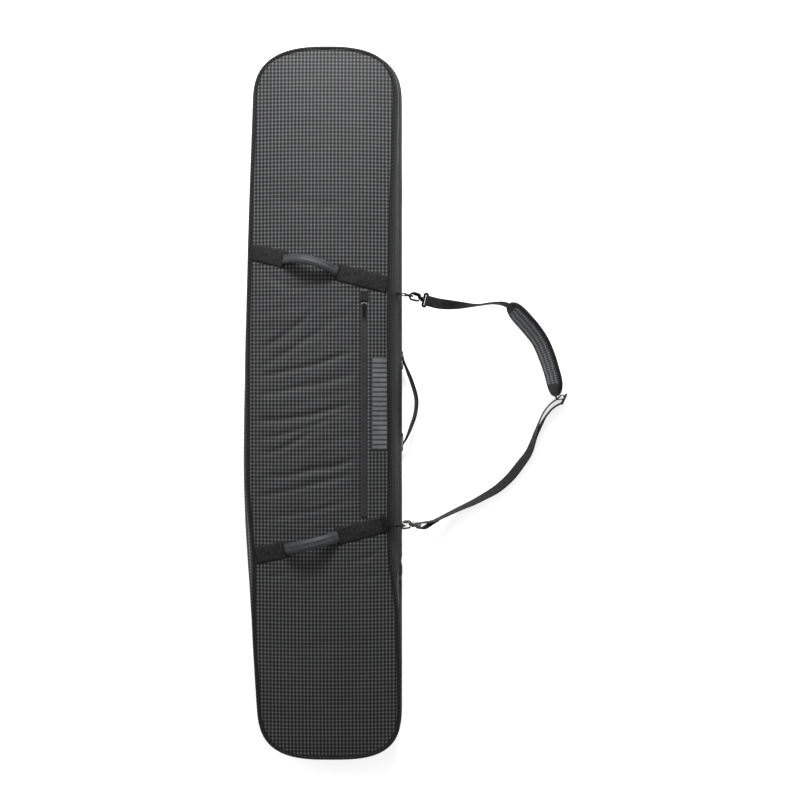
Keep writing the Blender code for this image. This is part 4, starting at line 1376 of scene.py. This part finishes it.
def make_slider(name, node, body, pull_node, pull_body, place, pull_lift):
    """Slider body and pull. place takes X across, Y back along the zip and Z outwards."""
    half, long = SLIDER_HALF, SLIDER_LONG
    nose = [(half, -long / 2), (half, long * 0.12), (half * 0.62, long / 2),
            (-half * 0.62, long / 2), (-half, long * 0.12), (-half, -long / 2)]
    part = slab(name, nose, 0.0020, METAL, 0.0006)
    part.matrix_world = place @ Matrix.Translation((0, 0, 0.0010))
    place_on(part, body, "dark_metal", node)
    arch = [(0, -0.0035, 0.0022), (0, -0.0022, pull_lift + 0.0004),
            (0, 0.0010, pull_lift + 0.0004), (0, 0.0026, 0.0022)]
    loop = sweep(f"{name}_bridge", smooth_route(arch, 4),
                 lambda k, share: [(a * 1.6, b) for a, b in circle(0.0007, 10)], METAL,
                 up=(1, 0, 0))
    loop.matrix_world = place
    place_on(loop, body, "dark_metal")
    pull = slab(f"{name}_pull", rounded_plan(0.0062, PULL_LONG, 0.7), 0.0013, METAL, 0.0003,
                hole=((0, -PULL_LONG * 0.80), 0.0014))
    pull.matrix_world = place @ Matrix.Translation((0, 0.0008, pull_lift))
    place_on(pull, pull_body, "dark_metal", pull_node)


def make_sliders(surface):
    for which, sign in (("upper", 1), ("lower", -1)):
        rotate = Matrix(((0, 0, 1), (0, -sign, 0), (sign, 0, 0))).to_4x4()
        at = JOINTS[f"main_pull_{which}_flip"]["pos_m"]
        spot = (at[0] - MAIN_PULL_LIFT, MAIN_SLIDER_Y[which], ZIP_Z)
        make_slider(f"zip_slider_{which}", f"main_slider_{which}", f"main_slider_{which}",
                    f"main_slider_pull_{which}", f"main_pull_{which}",
                    Matrix.Translation(spot) @ rotate, MAIN_PULL_LIFT)
    at = JOINTS["pocket_pull_flip"]["pos_m"]
    lean = Matrix.Rotation(0.06, 4, "Y")
    place = Matrix.Translation((at[0], POCKET_SLIDER_Y, at[2] - POCKET_PULL_LIFT)) @ lean
    make_slider("pocket_zip_slider", "pocket_slider", "pocket_slider", "pocket_slider_pull",
                "pocket_pull", place, POCKET_PULL_LIFT)


# ---- side grab handle ----------------------------------------------------------
TAB_HALF = 0.021                                  # half the length of the handle's sewn tabs
TAB_MIDDLES = {"upper": 0.100, "lower": -0.092}


def make_side_handle():
    x = RIGHT_SIDE + CX
    points = ((x + 0.0012, 0.1090, HANDLE_Z, 90), (x + 0.0030, 0.1000, HANDLE_Z, 90),
              (x + 0.0080, 0.0870, HANDLE_Z, 88),
              (x + 0.0145, 0.0710, HANDLE_Z, 80), (x + 0.0240, 0.0460, HANDLE_Z, 72),
              (x + 0.0335, 0.0100, HANDLE_Z, 70), (x + 0.0310, -0.0250, HANDLE_Z, 72),
              (x + 0.0210, -0.0560, HANDLE_Z, 74), (x + 0.0100, -0.0830, HANDLE_Z, 80),
              (x + 0.0010, -0.0980, HANDLE_Z, 90))

    def section(k, share):
        gather = min(0.42 + 3.2 * min(share, 1 - share), 1.0)
        thick = 0.0036 + 0.0024 * (1 - soft_step(0.12, 0.36, share))
        return flat_section(STRAP_WIDE * gather, thick, 10)

    part = ribbon("side_loop", strap_frames(points, 8), STRAP_WIDE, 0.003, WEBBING, section)
    place_on(part, "side_handle", "webbing", "side_handle")
    for which, y in TAB_MIDDLES.items():
        rows = []
        for k in range(9):
            share = k / 8
            out = x + 0.0030 - 0.0012 * abs(share - 0.5) * 2
            z = HANDLE_Z - STRAP_WIDE / 2 + STRAP_WIDE * share
            rows.append([(out - 0.0008 + 0.0010 * math.sin(math.pi * j / 10),
                          y - TAB_HALF + 2 * TAB_HALF * j / 10, z) for j in range(11)])
        patch = grid(f"side_tab_{which}", rows, lambda r, c: (r * 0.003, c * 0.0042), WEBBING)
        normals_out(patch, lambda at: Vector((CX, at.y, at.z)))
        solidify(patch, 0.0014)
        place_on(patch, "root", "webbing", f"side_handle_anchor_{which}")


# ---- shoulder strap ---------------------------------------------------------------
RING_R = 0.0145
RING_STUB = 0.003
RING_WIRE = 0.0021
RING_BARS = {"upper": Vector((0.1900 + CX, 0.2500, 0.0850)),
             "lower": Vector((0.1720 + CX, -0.2820, 0.1010))}
RING_TURN = {"upper": -10, "lower": 0}            # degrees about the upright axis
TAB_REACH = {"upper": 0.0200, "lower": 0.0205}
TAB_WIDE = 0.0225
TAB_THICK = 0.0013
HOOK_HALF = 0.0075
HOOK_REACH = 0.0265
HOOK_NOSE = 0.0050
HOOK_WIRE = 0.0025
EYE_TURN = {"upper": 0, "lower": 90}              # degrees that each eye is turned on its swivel
EYE_HALF = 0.0150
EYE_START = HOOK_REACH + 0.0084
EYE_END = EYE_START + 0.0090


def make_d_ring(which):
    bar = RING_BARS[which]
    place = Matrix.Translation(bar) @ Matrix.Rotation(math.radians(RING_TURN[which]), 4, "Z")
    route = [Vector((0, 0, RING_R * (k / 6 - 1))) for k in range(0, 12)]
    for step in range(29):
        angle = math.pi / 2 - math.pi * step / 28
        route.append(Vector((RING_STUB + RING_R * math.cos(angle), 0, RING_R * math.sin(angle))))
    part = sweep(f"ring_{which}", route, lambda k, share: circle(RING_WIRE, 14), METAL,
                 up=(0, 1, 0), closed=True)
    part.matrix_world = place
    place_on(part, "cover", "dark_metal", f"d_ring_{which}")
    make_ring_tab(which, place)


def make_ring_tab(which, place):
    """Webbing doubled round the ring's bar, its tail fanned out on the gusset."""
    wrap = RING_WIRE + 0.0009
    route = []
    reach = TAB_REACH[which]
    for k in range(7):
        t = 1 - k / 7
        route.append(Vector((-reach * t, -wrap * (1 - t * 0.75), -0.0045 * t)))
    for k in range(13):
        angle = -math.pi / 2 + math.pi * k / 12
        route.append(Vector((wrap * math.cos(angle), wrap * math.sin(angle), 0)))
    for k in range(1, 8):
        t = k / 7
        route.append(Vector((-reach * t, wrap * (1 - t * 0.75), -0.0045 * t)))
    part = sweep(f"ring_tab_{which}", route,
                 lambda k, share: [(b, a) for a, b in flat_section(TAB_WIDE, TAB_THICK, 8)][::-1],
                 WEBBING)
    part.matrix_world = place
    place_on(part, "cover", "webbing", f"d_ring_tab_{which}")


def hook_place(which):
    swivel = JOINTS[f"hook_{which}_swivel"]
    ahead = Vector(swivel["axis"])
    level = Vector((0, 0, 1)).cross(ahead).normalized()
    return Matrix.Translation(swivel["pos_m"]) @ turned_to(ahead, level, ahead.cross(level))


def make_hook(which, metal):
    place = hook_place(which)
    nose_x = HOOK_HALF - HOOK_NOSE
    points = [Vector((HOOK_REACH, 0, 0)), Vector((HOOK_REACH - 0.0020, 0, 0)),
              Vector((HOOK_REACH - 0.0045, 0.0035, 0)),
              Vector((HOOK_REACH - 0.0070, HOOK_HALF - 0.0008, 0)),
              Vector((HOOK_REACH - 0.0120, HOOK_HALF, 0))]
    for step in range(15):
        angle = math.pi / 2 + math.pi * step / 14
        points.append(Vector((nose_x + HOOK_HALF * math.cos(angle),
                              HOOK_HALF * math.sin(angle), 0)))
    route = smooth_route(points, 3)

    def section(k, share):
        body = soft_step(0.0, 0.06, share) * (1 - soft_step(0.42, 0.62, share))
        return [(a * (1 + 0.75 * body), b * (1 + 0.85 * body)) for a, b in circle(HOOK_WIRE, 16)]

    hook = sweep(f"hook_{which}_body", route, section, metal)
    hook.matrix_world = place
    place_on(hook, f"hook_{which}", "dark_metal", f"snap_hook_{which}")
    gate_route = [Vector((nose_x + 0.0026, -HOOK_HALF, 0)),
                  Vector((HOOK_REACH - 0.0100, -HOOK_HALF + 0.0008, 0)),
                  Vector((HOOK_REACH - 0.0050, -HOOK_HALF + 0.0020, 0))]
    gate = sweep(f"hook_{which}_gate", smooth_route(gate_route, 5),
                 lambda k, share: [(a, b * 1.2) for a, b in circle(HOOK_WIRE, 12)], metal)
    gate.matrix_world = place
    place_on(gate, f"gate_{which}", "dark_metal", f"hook_gate_{which}")
    knob = Vector((nose_x + 0.0090, -HOOK_HALF - 0.0020, 0))
    stud = sweep(f"hook_{which}_thumb", [knob, knob + Vector((0, 0.0026, 0))],
                 lambda k, share: circle(0.0021 - 0.0005 * (1 - k), 12), metal, up=(0, 0, 1))
    stud.matrix_world = place
    place_on(stud, f"gate_{which}", "dark_metal")
    eye_place = place @ Matrix.Rotation(math.radians(EYE_TURN[which]), 4, "X")
    make_eye(which, eye_place, metal)
    return eye_place


# The swivel barrel's turned profile: distance along it, and radius
BARREL = ((0.0000, 0.0038), (0.0006, 0.0052), (0.0022, 0.0058), (0.0028, 0.0046),
          (0.0036, 0.0046), (0.0042, 0.0060), (0.0064, 0.0060), (0.0076, 0.0044),
          (0.0084, 0.0034))
EYE_CORNER = 0.0040
EYE_WIRE = 0.0022


def make_eye(which, place, metal):
    """Swivel barrel, turned with two grooves, and the flat loop that holds the webbing."""
    route = [Vector((HOOK_REACH + 0.0004 + x, 0, 0)) for x, _ in BARREL]
    barrel = sweep(f"swivel_{which}_barrel", route, lambda k, share: circle(BARREL[k][1], 20),
                   metal)
    barrel.matrix_world = place
    place_on(barrel, "strap", "dark_metal", f"swivel_eye_{which}")
    corners = [Vector((EYE_START, EYE_HALF, 0)), Vector((EYE_END, EYE_HALF, 0)),
               Vector((EYE_END, -EYE_HALF, 0)), Vector((EYE_START, -EYE_HALF, 0))]
    loop = []
    for k, corner in enumerate(corners):
        before = (corners[k - 1] - corner).normalized() * EYE_CORNER
        after = (corners[(k + 1) % 4] - corner).normalized() * EYE_CORNER
        for step in range(7):
            t = step / 6
            loop.append(corner + before * (1 - t) ** 2 + after * t * t)
    part = sweep(f"swivel_{which}_loop", loop,
                 lambda k, share: [(a * 1.4, b) for a, b in circle(EYE_WIRE, 12)], metal,
                 closed=True)
    part.matrix_world = place
    place_on(part, "strap", "dark_metal")


def strap_frames(points, steps):
    """Centres and width directions of a strap: each point is (x, y, z, lean in degrees)."""
    centres = smooth_route([p[:3] for p in points], steps)
    leans = smooth_route([(p[3], 0, 0) for p in points], steps)
    ahead = headings(centres)
    frames = []
    for spot, along, lean in zip(centres, ahead, leans):
        level = Vector((0, 0, 1)).cross(along).normalized()
        upright = along.cross(level)
        turn = math.radians(lean.x)
        frames.append((spot, along, level * math.cos(turn) + upright * math.sin(turn)))
    return frames


def ribbon(name, frames, wide, thick, material, section=None):
    rows = []
    run = lengths([f[0] for f in frames])
    for k, (spot, along, across) in enumerate(frames):
        normal = along.cross(across)
        shape = section(k, run[k] / run[-1]) if section else flat_section(wide, thick, 10)
        rows.append([spot + across * a + normal * b for a, b in shape])
    girth = lengths([*rows[0], rows[0][0]])
    part = grid(name, rows, lambda r, c: (girth[c], run[r]), material, wrap=True, caps=True)
    weld(part, 0.000005)
    return part


def shifted(points):
    return [(p[0] + CX, *p[1:]) for p in points]


UPPER_STRAP = ((0.2660, 0.2330, 0.0420, 8), (0.2900, 0.2310, 0.0280, 25),
               (0.3150, 0.2300, 0.0190, 45), (0.3420, 0.2300, 0.0140, 68),
               (0.3650, 0.2312, 0.0136, 80), (0.3840, 0.2340, 0.0136, 80),
               (0.4000, 0.2352, 0.0140, 78), (0.4180, 0.2335, 0.0180, 70),
               (0.4350, 0.2275, 0.0270, 60))
LOWER_STRAP = ((0.5640, 0.0045, 0.0145, 88), (0.5575, -0.0010, 0.0140, 86),
               (0.5492, -0.0050, 0.0138, 86), (0.5400, -0.0110, 0.0136, 87),
               (0.5316, -0.0189, 0.0136, 87), (0.5198, -0.0343, 0.0136, 86),
               (0.5091, -0.0543, 0.0136, 78), (0.4962, -0.0785, 0.0134, 66),
               (0.4815, -0.1168, 0.0118, 50), (0.4610, -0.1463, 0.0090, 38),
               (0.4374, -0.1758, 0.0088, 36), (0.4076, -0.2022, 0.0097, 42),
               (0.3780, -0.2198, 0.0113, 52), (0.3484, -0.2355, 0.0128, 60),
               (0.3185, -0.2486, 0.0175, 68), (0.2890, -0.2622, 0.0270, 72),
               (0.2655, -0.2727, 0.0370, 78), (0.2500, -0.2775, 0.0440, 82))
# Second strand of the strap's loop through the tri-glide
RETURN_STRAND = ((0.5650, 0.0150, 0.0150, 90), (0.5590, 0.0190, 0.0150, 90),
                 (0.5488, 0.0099, 0.0145, 86), (0.5329, -0.0012, 0.0140, 87),
                 (0.5186, -0.0182, 0.0138, 87), (0.5076, -0.0398, 0.0138, 87),
                 (0.5000, -0.0610, 0.0140, 78), (0.4940, -0.0800, 0.0142, 67))
# Webbing from the pad's lower end to the tri-glide's middle bar, with its folded end
PAD_TAIL = ((0.5425, 0.0330, 0.0240, 76), (0.5440, 0.0170, 0.0190, 84),
            (0.5480, 0.0085, 0.0160, 90), (0.5540, 0.0080, 0.0150, 90),
            (0.5620, 0.0100, 0.0150, 90))
PAD = ((0.4340, 0.2290, 0.0290, 60), (0.4470, 0.2180, 0.0290, 60), (0.4596, 0.2043, 0.0290, 60),
       (0.4860, 0.1744, 0.0290, 60), (0.5066, 0.1456, 0.0290, 62), (0.5213, 0.1127, 0.0290, 62),
       (0.5330, 0.0775, 0.0290, 64), (0.5405, 0.0481, 0.0290, 64), (0.5440, 0.0190, 0.0290, 64))
PAD_WIDE = 0.058
PAD_THICK = 0.011


UPPER_THICK = 0.0016
LOWER_THICK = 0.0024                              # two layers of webbing, sewn together


def make_strap():
    places = {}
    # The lower hook takes the metal with the painted highlight.
    for which, metal in (("upper", METAL), ("lower", HIGHLIT_METAL)):
        make_d_ring(which)
        places[which] = make_hook(which, metal)
    upper_eye = places["upper"] @ Vector((EYE_END + FOLD_R, 0, 0))
    lower_eye = places["lower"] @ Vector((EYE_END + FOLD_R, 0, -FOLD_R))
    upper = ((*upper_eye, 0), *shifted(UPPER_STRAP))
    frames = strap_frames(upper, 7)
    web = ribbon("strap_upper", frames, STRAP_WIDE, UPPER_THICK, STRAP_WEB)
    place_on(web, "strap", "webbing", "strap_webbing_upper")
    route = [f[0] for f in frames]
    fold = make_fold("upper", places["upper"], route)
    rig.cord(web, exit=route[0], length=lengths(route)[-1], diameter=STRAP_WIDE, far_end="object",
            stiffness="medium", lay="loose", path=route, with_pieces=[fold])
    lower = (*shifted(LOWER_STRAP), (*lower_eye, 90))
    frames = strap_frames(lower, 7)
    web = ribbon("strap_lower", frames, STRAP_WIDE, LOWER_THICK, STRAP_WEB)
    place_on(web, "strap", "webbing", "strap_webbing_lower")
    route = [f[0] for f in frames]
    fold = make_fold("lower", places["lower"], route[::-1])
    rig.cord(web, exit=route[-1], length=lengths(route)[-1], diameter=STRAP_WIDE,
            far_end="object", stiffness="medium", lay="loose", path=route, with_pieces=[fold])
    make_pad()
    make_glide()


FOLD_R = 0.0030                                   # of the webbing's turn round an eye's far bar
FOLD_OPEN = {"upper": 0.0028, "lower": 0.0105}    # half the gap inside the webbing's loop
FOLD_SEWN = {"upper": 0.027, "lower": 0.040}      # from the eye to where the end is sewn down


def make_fold(which, place, strap):
    """The webbing's end, folded round the eye's far bar and sewn back on the strap."""
    gap = FOLD_OPEN[which]
    sewn_at = FOLD_SEWN[which]
    points = [place @ Vector((EYE_END + 0.0080, 0, -0.0035))]
    for k in range(9):
        angle = math.radians(-90 - 180 * k / 8)
        points.append(place @ Vector((EYE_END + FOLD_R * math.cos(angle), 0,
                                      FOLD_R * math.sin(angle))))
    points.append(place @ Vector((EYE_END + 0.0070, 0, FOLD_R + (gap - FOLD_R) * 0.6)))
    points.append(place @ Vector((EYE_END + sewn_at * 0.48, 0, gap)))
    run = lengths(strap)
    upward = place.to_3x3() @ Vector((0, 0, 1))
    for reach in (sewn_at, sewn_at + 0.010):
        spot = min(range(len(run)), key=lambda k: abs(run[k] - reach))
        points.append(strap[spot] + upward * 0.0021)
    level = (place.to_3x3() @ Vector((0, 1, 0))).normalized()
    route = smooth_route(points, 2)
    frames = [(spot, along, level) for spot, along in zip(route, headings(route))]
    part = ribbon(f"strap_fold_{which}", frames, STRAP_WIDE - 0.0006, 0.0020, STRAP_WEB)
    return place_on(part, "strap", "webbing")


def pad_share(share):
    """Width of the pad along its length: full, with rounded ends."""
    reach = max(abs(share - 0.5) * 2 - 0.66, 0.0) / 0.355
    return max(1 - reach ** 2.4, 0.0004) ** 0.5


def make_pad():
    frames = strap_frames(shifted(PAD), 10)

    def section(k, share):
        full = pad_share(share)
        wide, thick = PAD_WIDE / 2 * full, PAD_THICK / 2 * (0.35 + 0.65 * full)
        points = []
        for j in range(36):
            angle = 2 * math.pi * j / 36
            c, s = math.cos(angle), math.sin(angle)
            a = math.copysign(abs(c) ** 0.45, c) * wide
            crown = 1.0 + 0.10 * math.sin(share * 61.0) * (abs(c) < 0.8)
            points.append((a, math.copysign(abs(s) ** 0.75, s) * thick * crown))
        return points

    pad = ribbon("pad", frames, PAD_WIDE, PAD_THICK, PAD_FABRIC, section)
    place_on(pad, "strap", "pad_fabric", "shoulder_pad")
    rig.padded(pad, fill=0.5)
    edge = []
    run = lengths([f[0] for f in frames])
    for sign in (1, -1):
        order = range(len(frames)) if sign == 1 else range(len(frames) - 1, -1, -1)
        for k in order:
            spot, along, across = frames[k]
            edge.append(spot + across * sign * PAD_WIDE / 2 * pad_share(run[k] / run[-1]))
    binding = sweep("pad_binding", edge, lambda k, share: [(a * 0.62, b) for a, b
                                                           in circle(0.0044, 12)], BINDING,
                    up=lambda k: frame_normal(frames, edge[k]), closed=True)
    place_on(binding, "strap", "webbing")
    for name, first, last in (("top", 0, 9), ("bottom", len(frames) - 10, len(frames) - 1)):
        def cap_section(k, share):
            return [(a * 1.01, b * 1.04 + math.copysign(0.0002, b))
                    for a, b in section(k, run[first + k] / run[-1])]

        cap = ribbon(f"pad_cap_{name}", frames[first:last + 1], PAD_WIDE, PAD_THICK, BINDING,
                     cap_section)
        place_on(cap, "strap", "webbing")


def frame_normal(frames, spot):
    near = min(frames, key=lambda f: (f[0] - spot).length)
    return near[1].cross(near[2])


GLIDE_AT = (0.5640, 0.0090, 0.0160)
GLIDE_TURN = -25                                  # degrees about the upright axis
GLIDE_SLOT = (0.0255, 0.0080)
GLIDE_SLOT_Y = 0.0065


def make_glide():
    x, y, z = GLIDE_AT
    place = (Matrix.Translation((x + CX, y, z)) @ Matrix.Rotation(math.radians(GLIDE_TURN), 4, "Z")
             @ Matrix.Rotation(math.pi / 2, 4, "Y"))
    part = slab("glide", [(0.0155, 0.0135), (0.0150, 0.0140), (-0.0150, 0.0140),
                          (-0.0155, 0.0135), (-0.0155, -0.0135), (-0.0150, -0.0140),
                          (0.0150, -0.0140), (0.0155, -0.0135)], 0.0030, BUCKLE, 0.0002)
    for offset in (-GLIDE_SLOT_Y, GLIDE_SLOT_Y):
        bpy.ops.mesh.primitive_cube_add(size=1, location=(0, offset, 0))
        cutter = bpy.context.object
        cutter.scale = (*GLIDE_SLOT, 0.02)
        bpy.context.view_layer.update()
        cut = part.modifiers.new("slot", "BOOLEAN")
        cut.operation = "DIFFERENCE"
        cut.object = cutter
        apply_modifiers(part)
        bpy.data.objects.remove(cutter, do_unlink=True)
    edge = part.modifiers.new("edges", "BEVEL")
    edge.width = 0.0007
    edge.segments = 3
    edge.limit_method = "ANGLE"
    apply_modifiers(part)
    part.matrix_world = place
    place_on(part, "strap", "buckle", "tri_glide")
    for name, route in (("strap_return", RETURN_STRAND), ("pad_tail", PAD_TAIL)):
        web = ribbon(name, strap_frames(shifted(route), 6), STRAP_WIDE - 0.001, 0.0018, STRAP_WEB)
        place_on(web, "strap", "webbing")


# ---- interior ----------------------------------------------------------------------
def dress_inside():
    for name in ("front_foam", "back_foam"):
        set_material(name, FOAM)
    for name in ("front_lining", "back_lining"):
        set_material(name, LINING)


def set_material(name, material):
    data = nodes[name].data
    if not data.materials:
        data.materials.append(material)
    for k in range(len(data.materials)):
        data.materials[k] = material


# ---- stage -------------------------------------------------------------------------
FLOOR_GLOW = 0.68
SKY_LIGHT = 0.34
KEY = ((0.10, 1.95, 1.45), (0.0, 0.40, 0.05), 1.0, 68, 0.6)     # place, target, size, watts, depth
FILL = ((-1.5, 0.5, 1.9), (0.0, 0.1, 0.05), 1.2, 10)


def area_light(name, spot, target, size, power, size_y=None):
    data = bpy.data.lights.new(name, "AREA")
    data.shape = "RECTANGLE"
    data.size = size
    data.size_y = size_y or size
    data.energy = power
    light = bpy.data.objects.new(name, data)
    light.location = spot
    aim = Vector(target) - Vector(spot)
    light.rotation_mode = "QUATERNION"
    light.rotation_quaternion = aim.to_track_quat("-Z", "Y")
    bpy.context.scene.collection.objects.link(light)


def make_stage():
    bpy.ops.mesh.primitive_plane_add(size=14)
    floor = bpy.context.object
    floor.name = "floor"
    floor.location.z = -0.0002
    look = Shader("floor_paper", roughness=0.9, specular=0.1)
    speckle = look.noise(look.place(False), 3.0, 2.0)
    look.colour(look.ramp(speckle, ((0.0, (0.92, 0.92, 0.92)), (1.0, (0.96, 0.96, 0.96)))))
    look.shader.inputs["Emission Color"].default_value = (1, 1, 1, 1)
    look.shader.inputs["Emission Strength"].default_value = FLOOR_GLOW
    floor.data.materials.append(look.material)
    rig.stage(floor)
    world = bpy.data.worlds.new("studio")
    world.use_nodes = True
    world.node_tree.nodes["Background"].inputs["Color"].default_value = (1, 1, 1, 1)
    world.node_tree.nodes["Background"].inputs["Strength"].default_value = SKY_LIGHT
    bpy.context.scene.world = world
    area_light("key", *KEY)
    area_light("fill", *FILL)
    view = bpy.context.scene.view_settings
    view.view_transform = "Standard"
    view.look = "None"
    view.exposure = 0.0


make_camera()
make_strap()
front = front_panel()
place_on(front, "cover", "check_fabric", "front_panel")
surface = Surface(front)
solidify(front, 0.0014)
make_shell()
make_spine()
make_main_zip()
make_back()
make_handles(surface)
make_patch(surface)
make_pocket(surface)
make_sliders(surface)
make_side_handle()
dress_inside()
make_stage()

shown_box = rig.bounds()
with open("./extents.json", "w") as out:
    json.dump({"cad": [list(corner) for corner in cad_box],
               "visual": [list(corner) for corner in shown_box]}, out, indent=1)
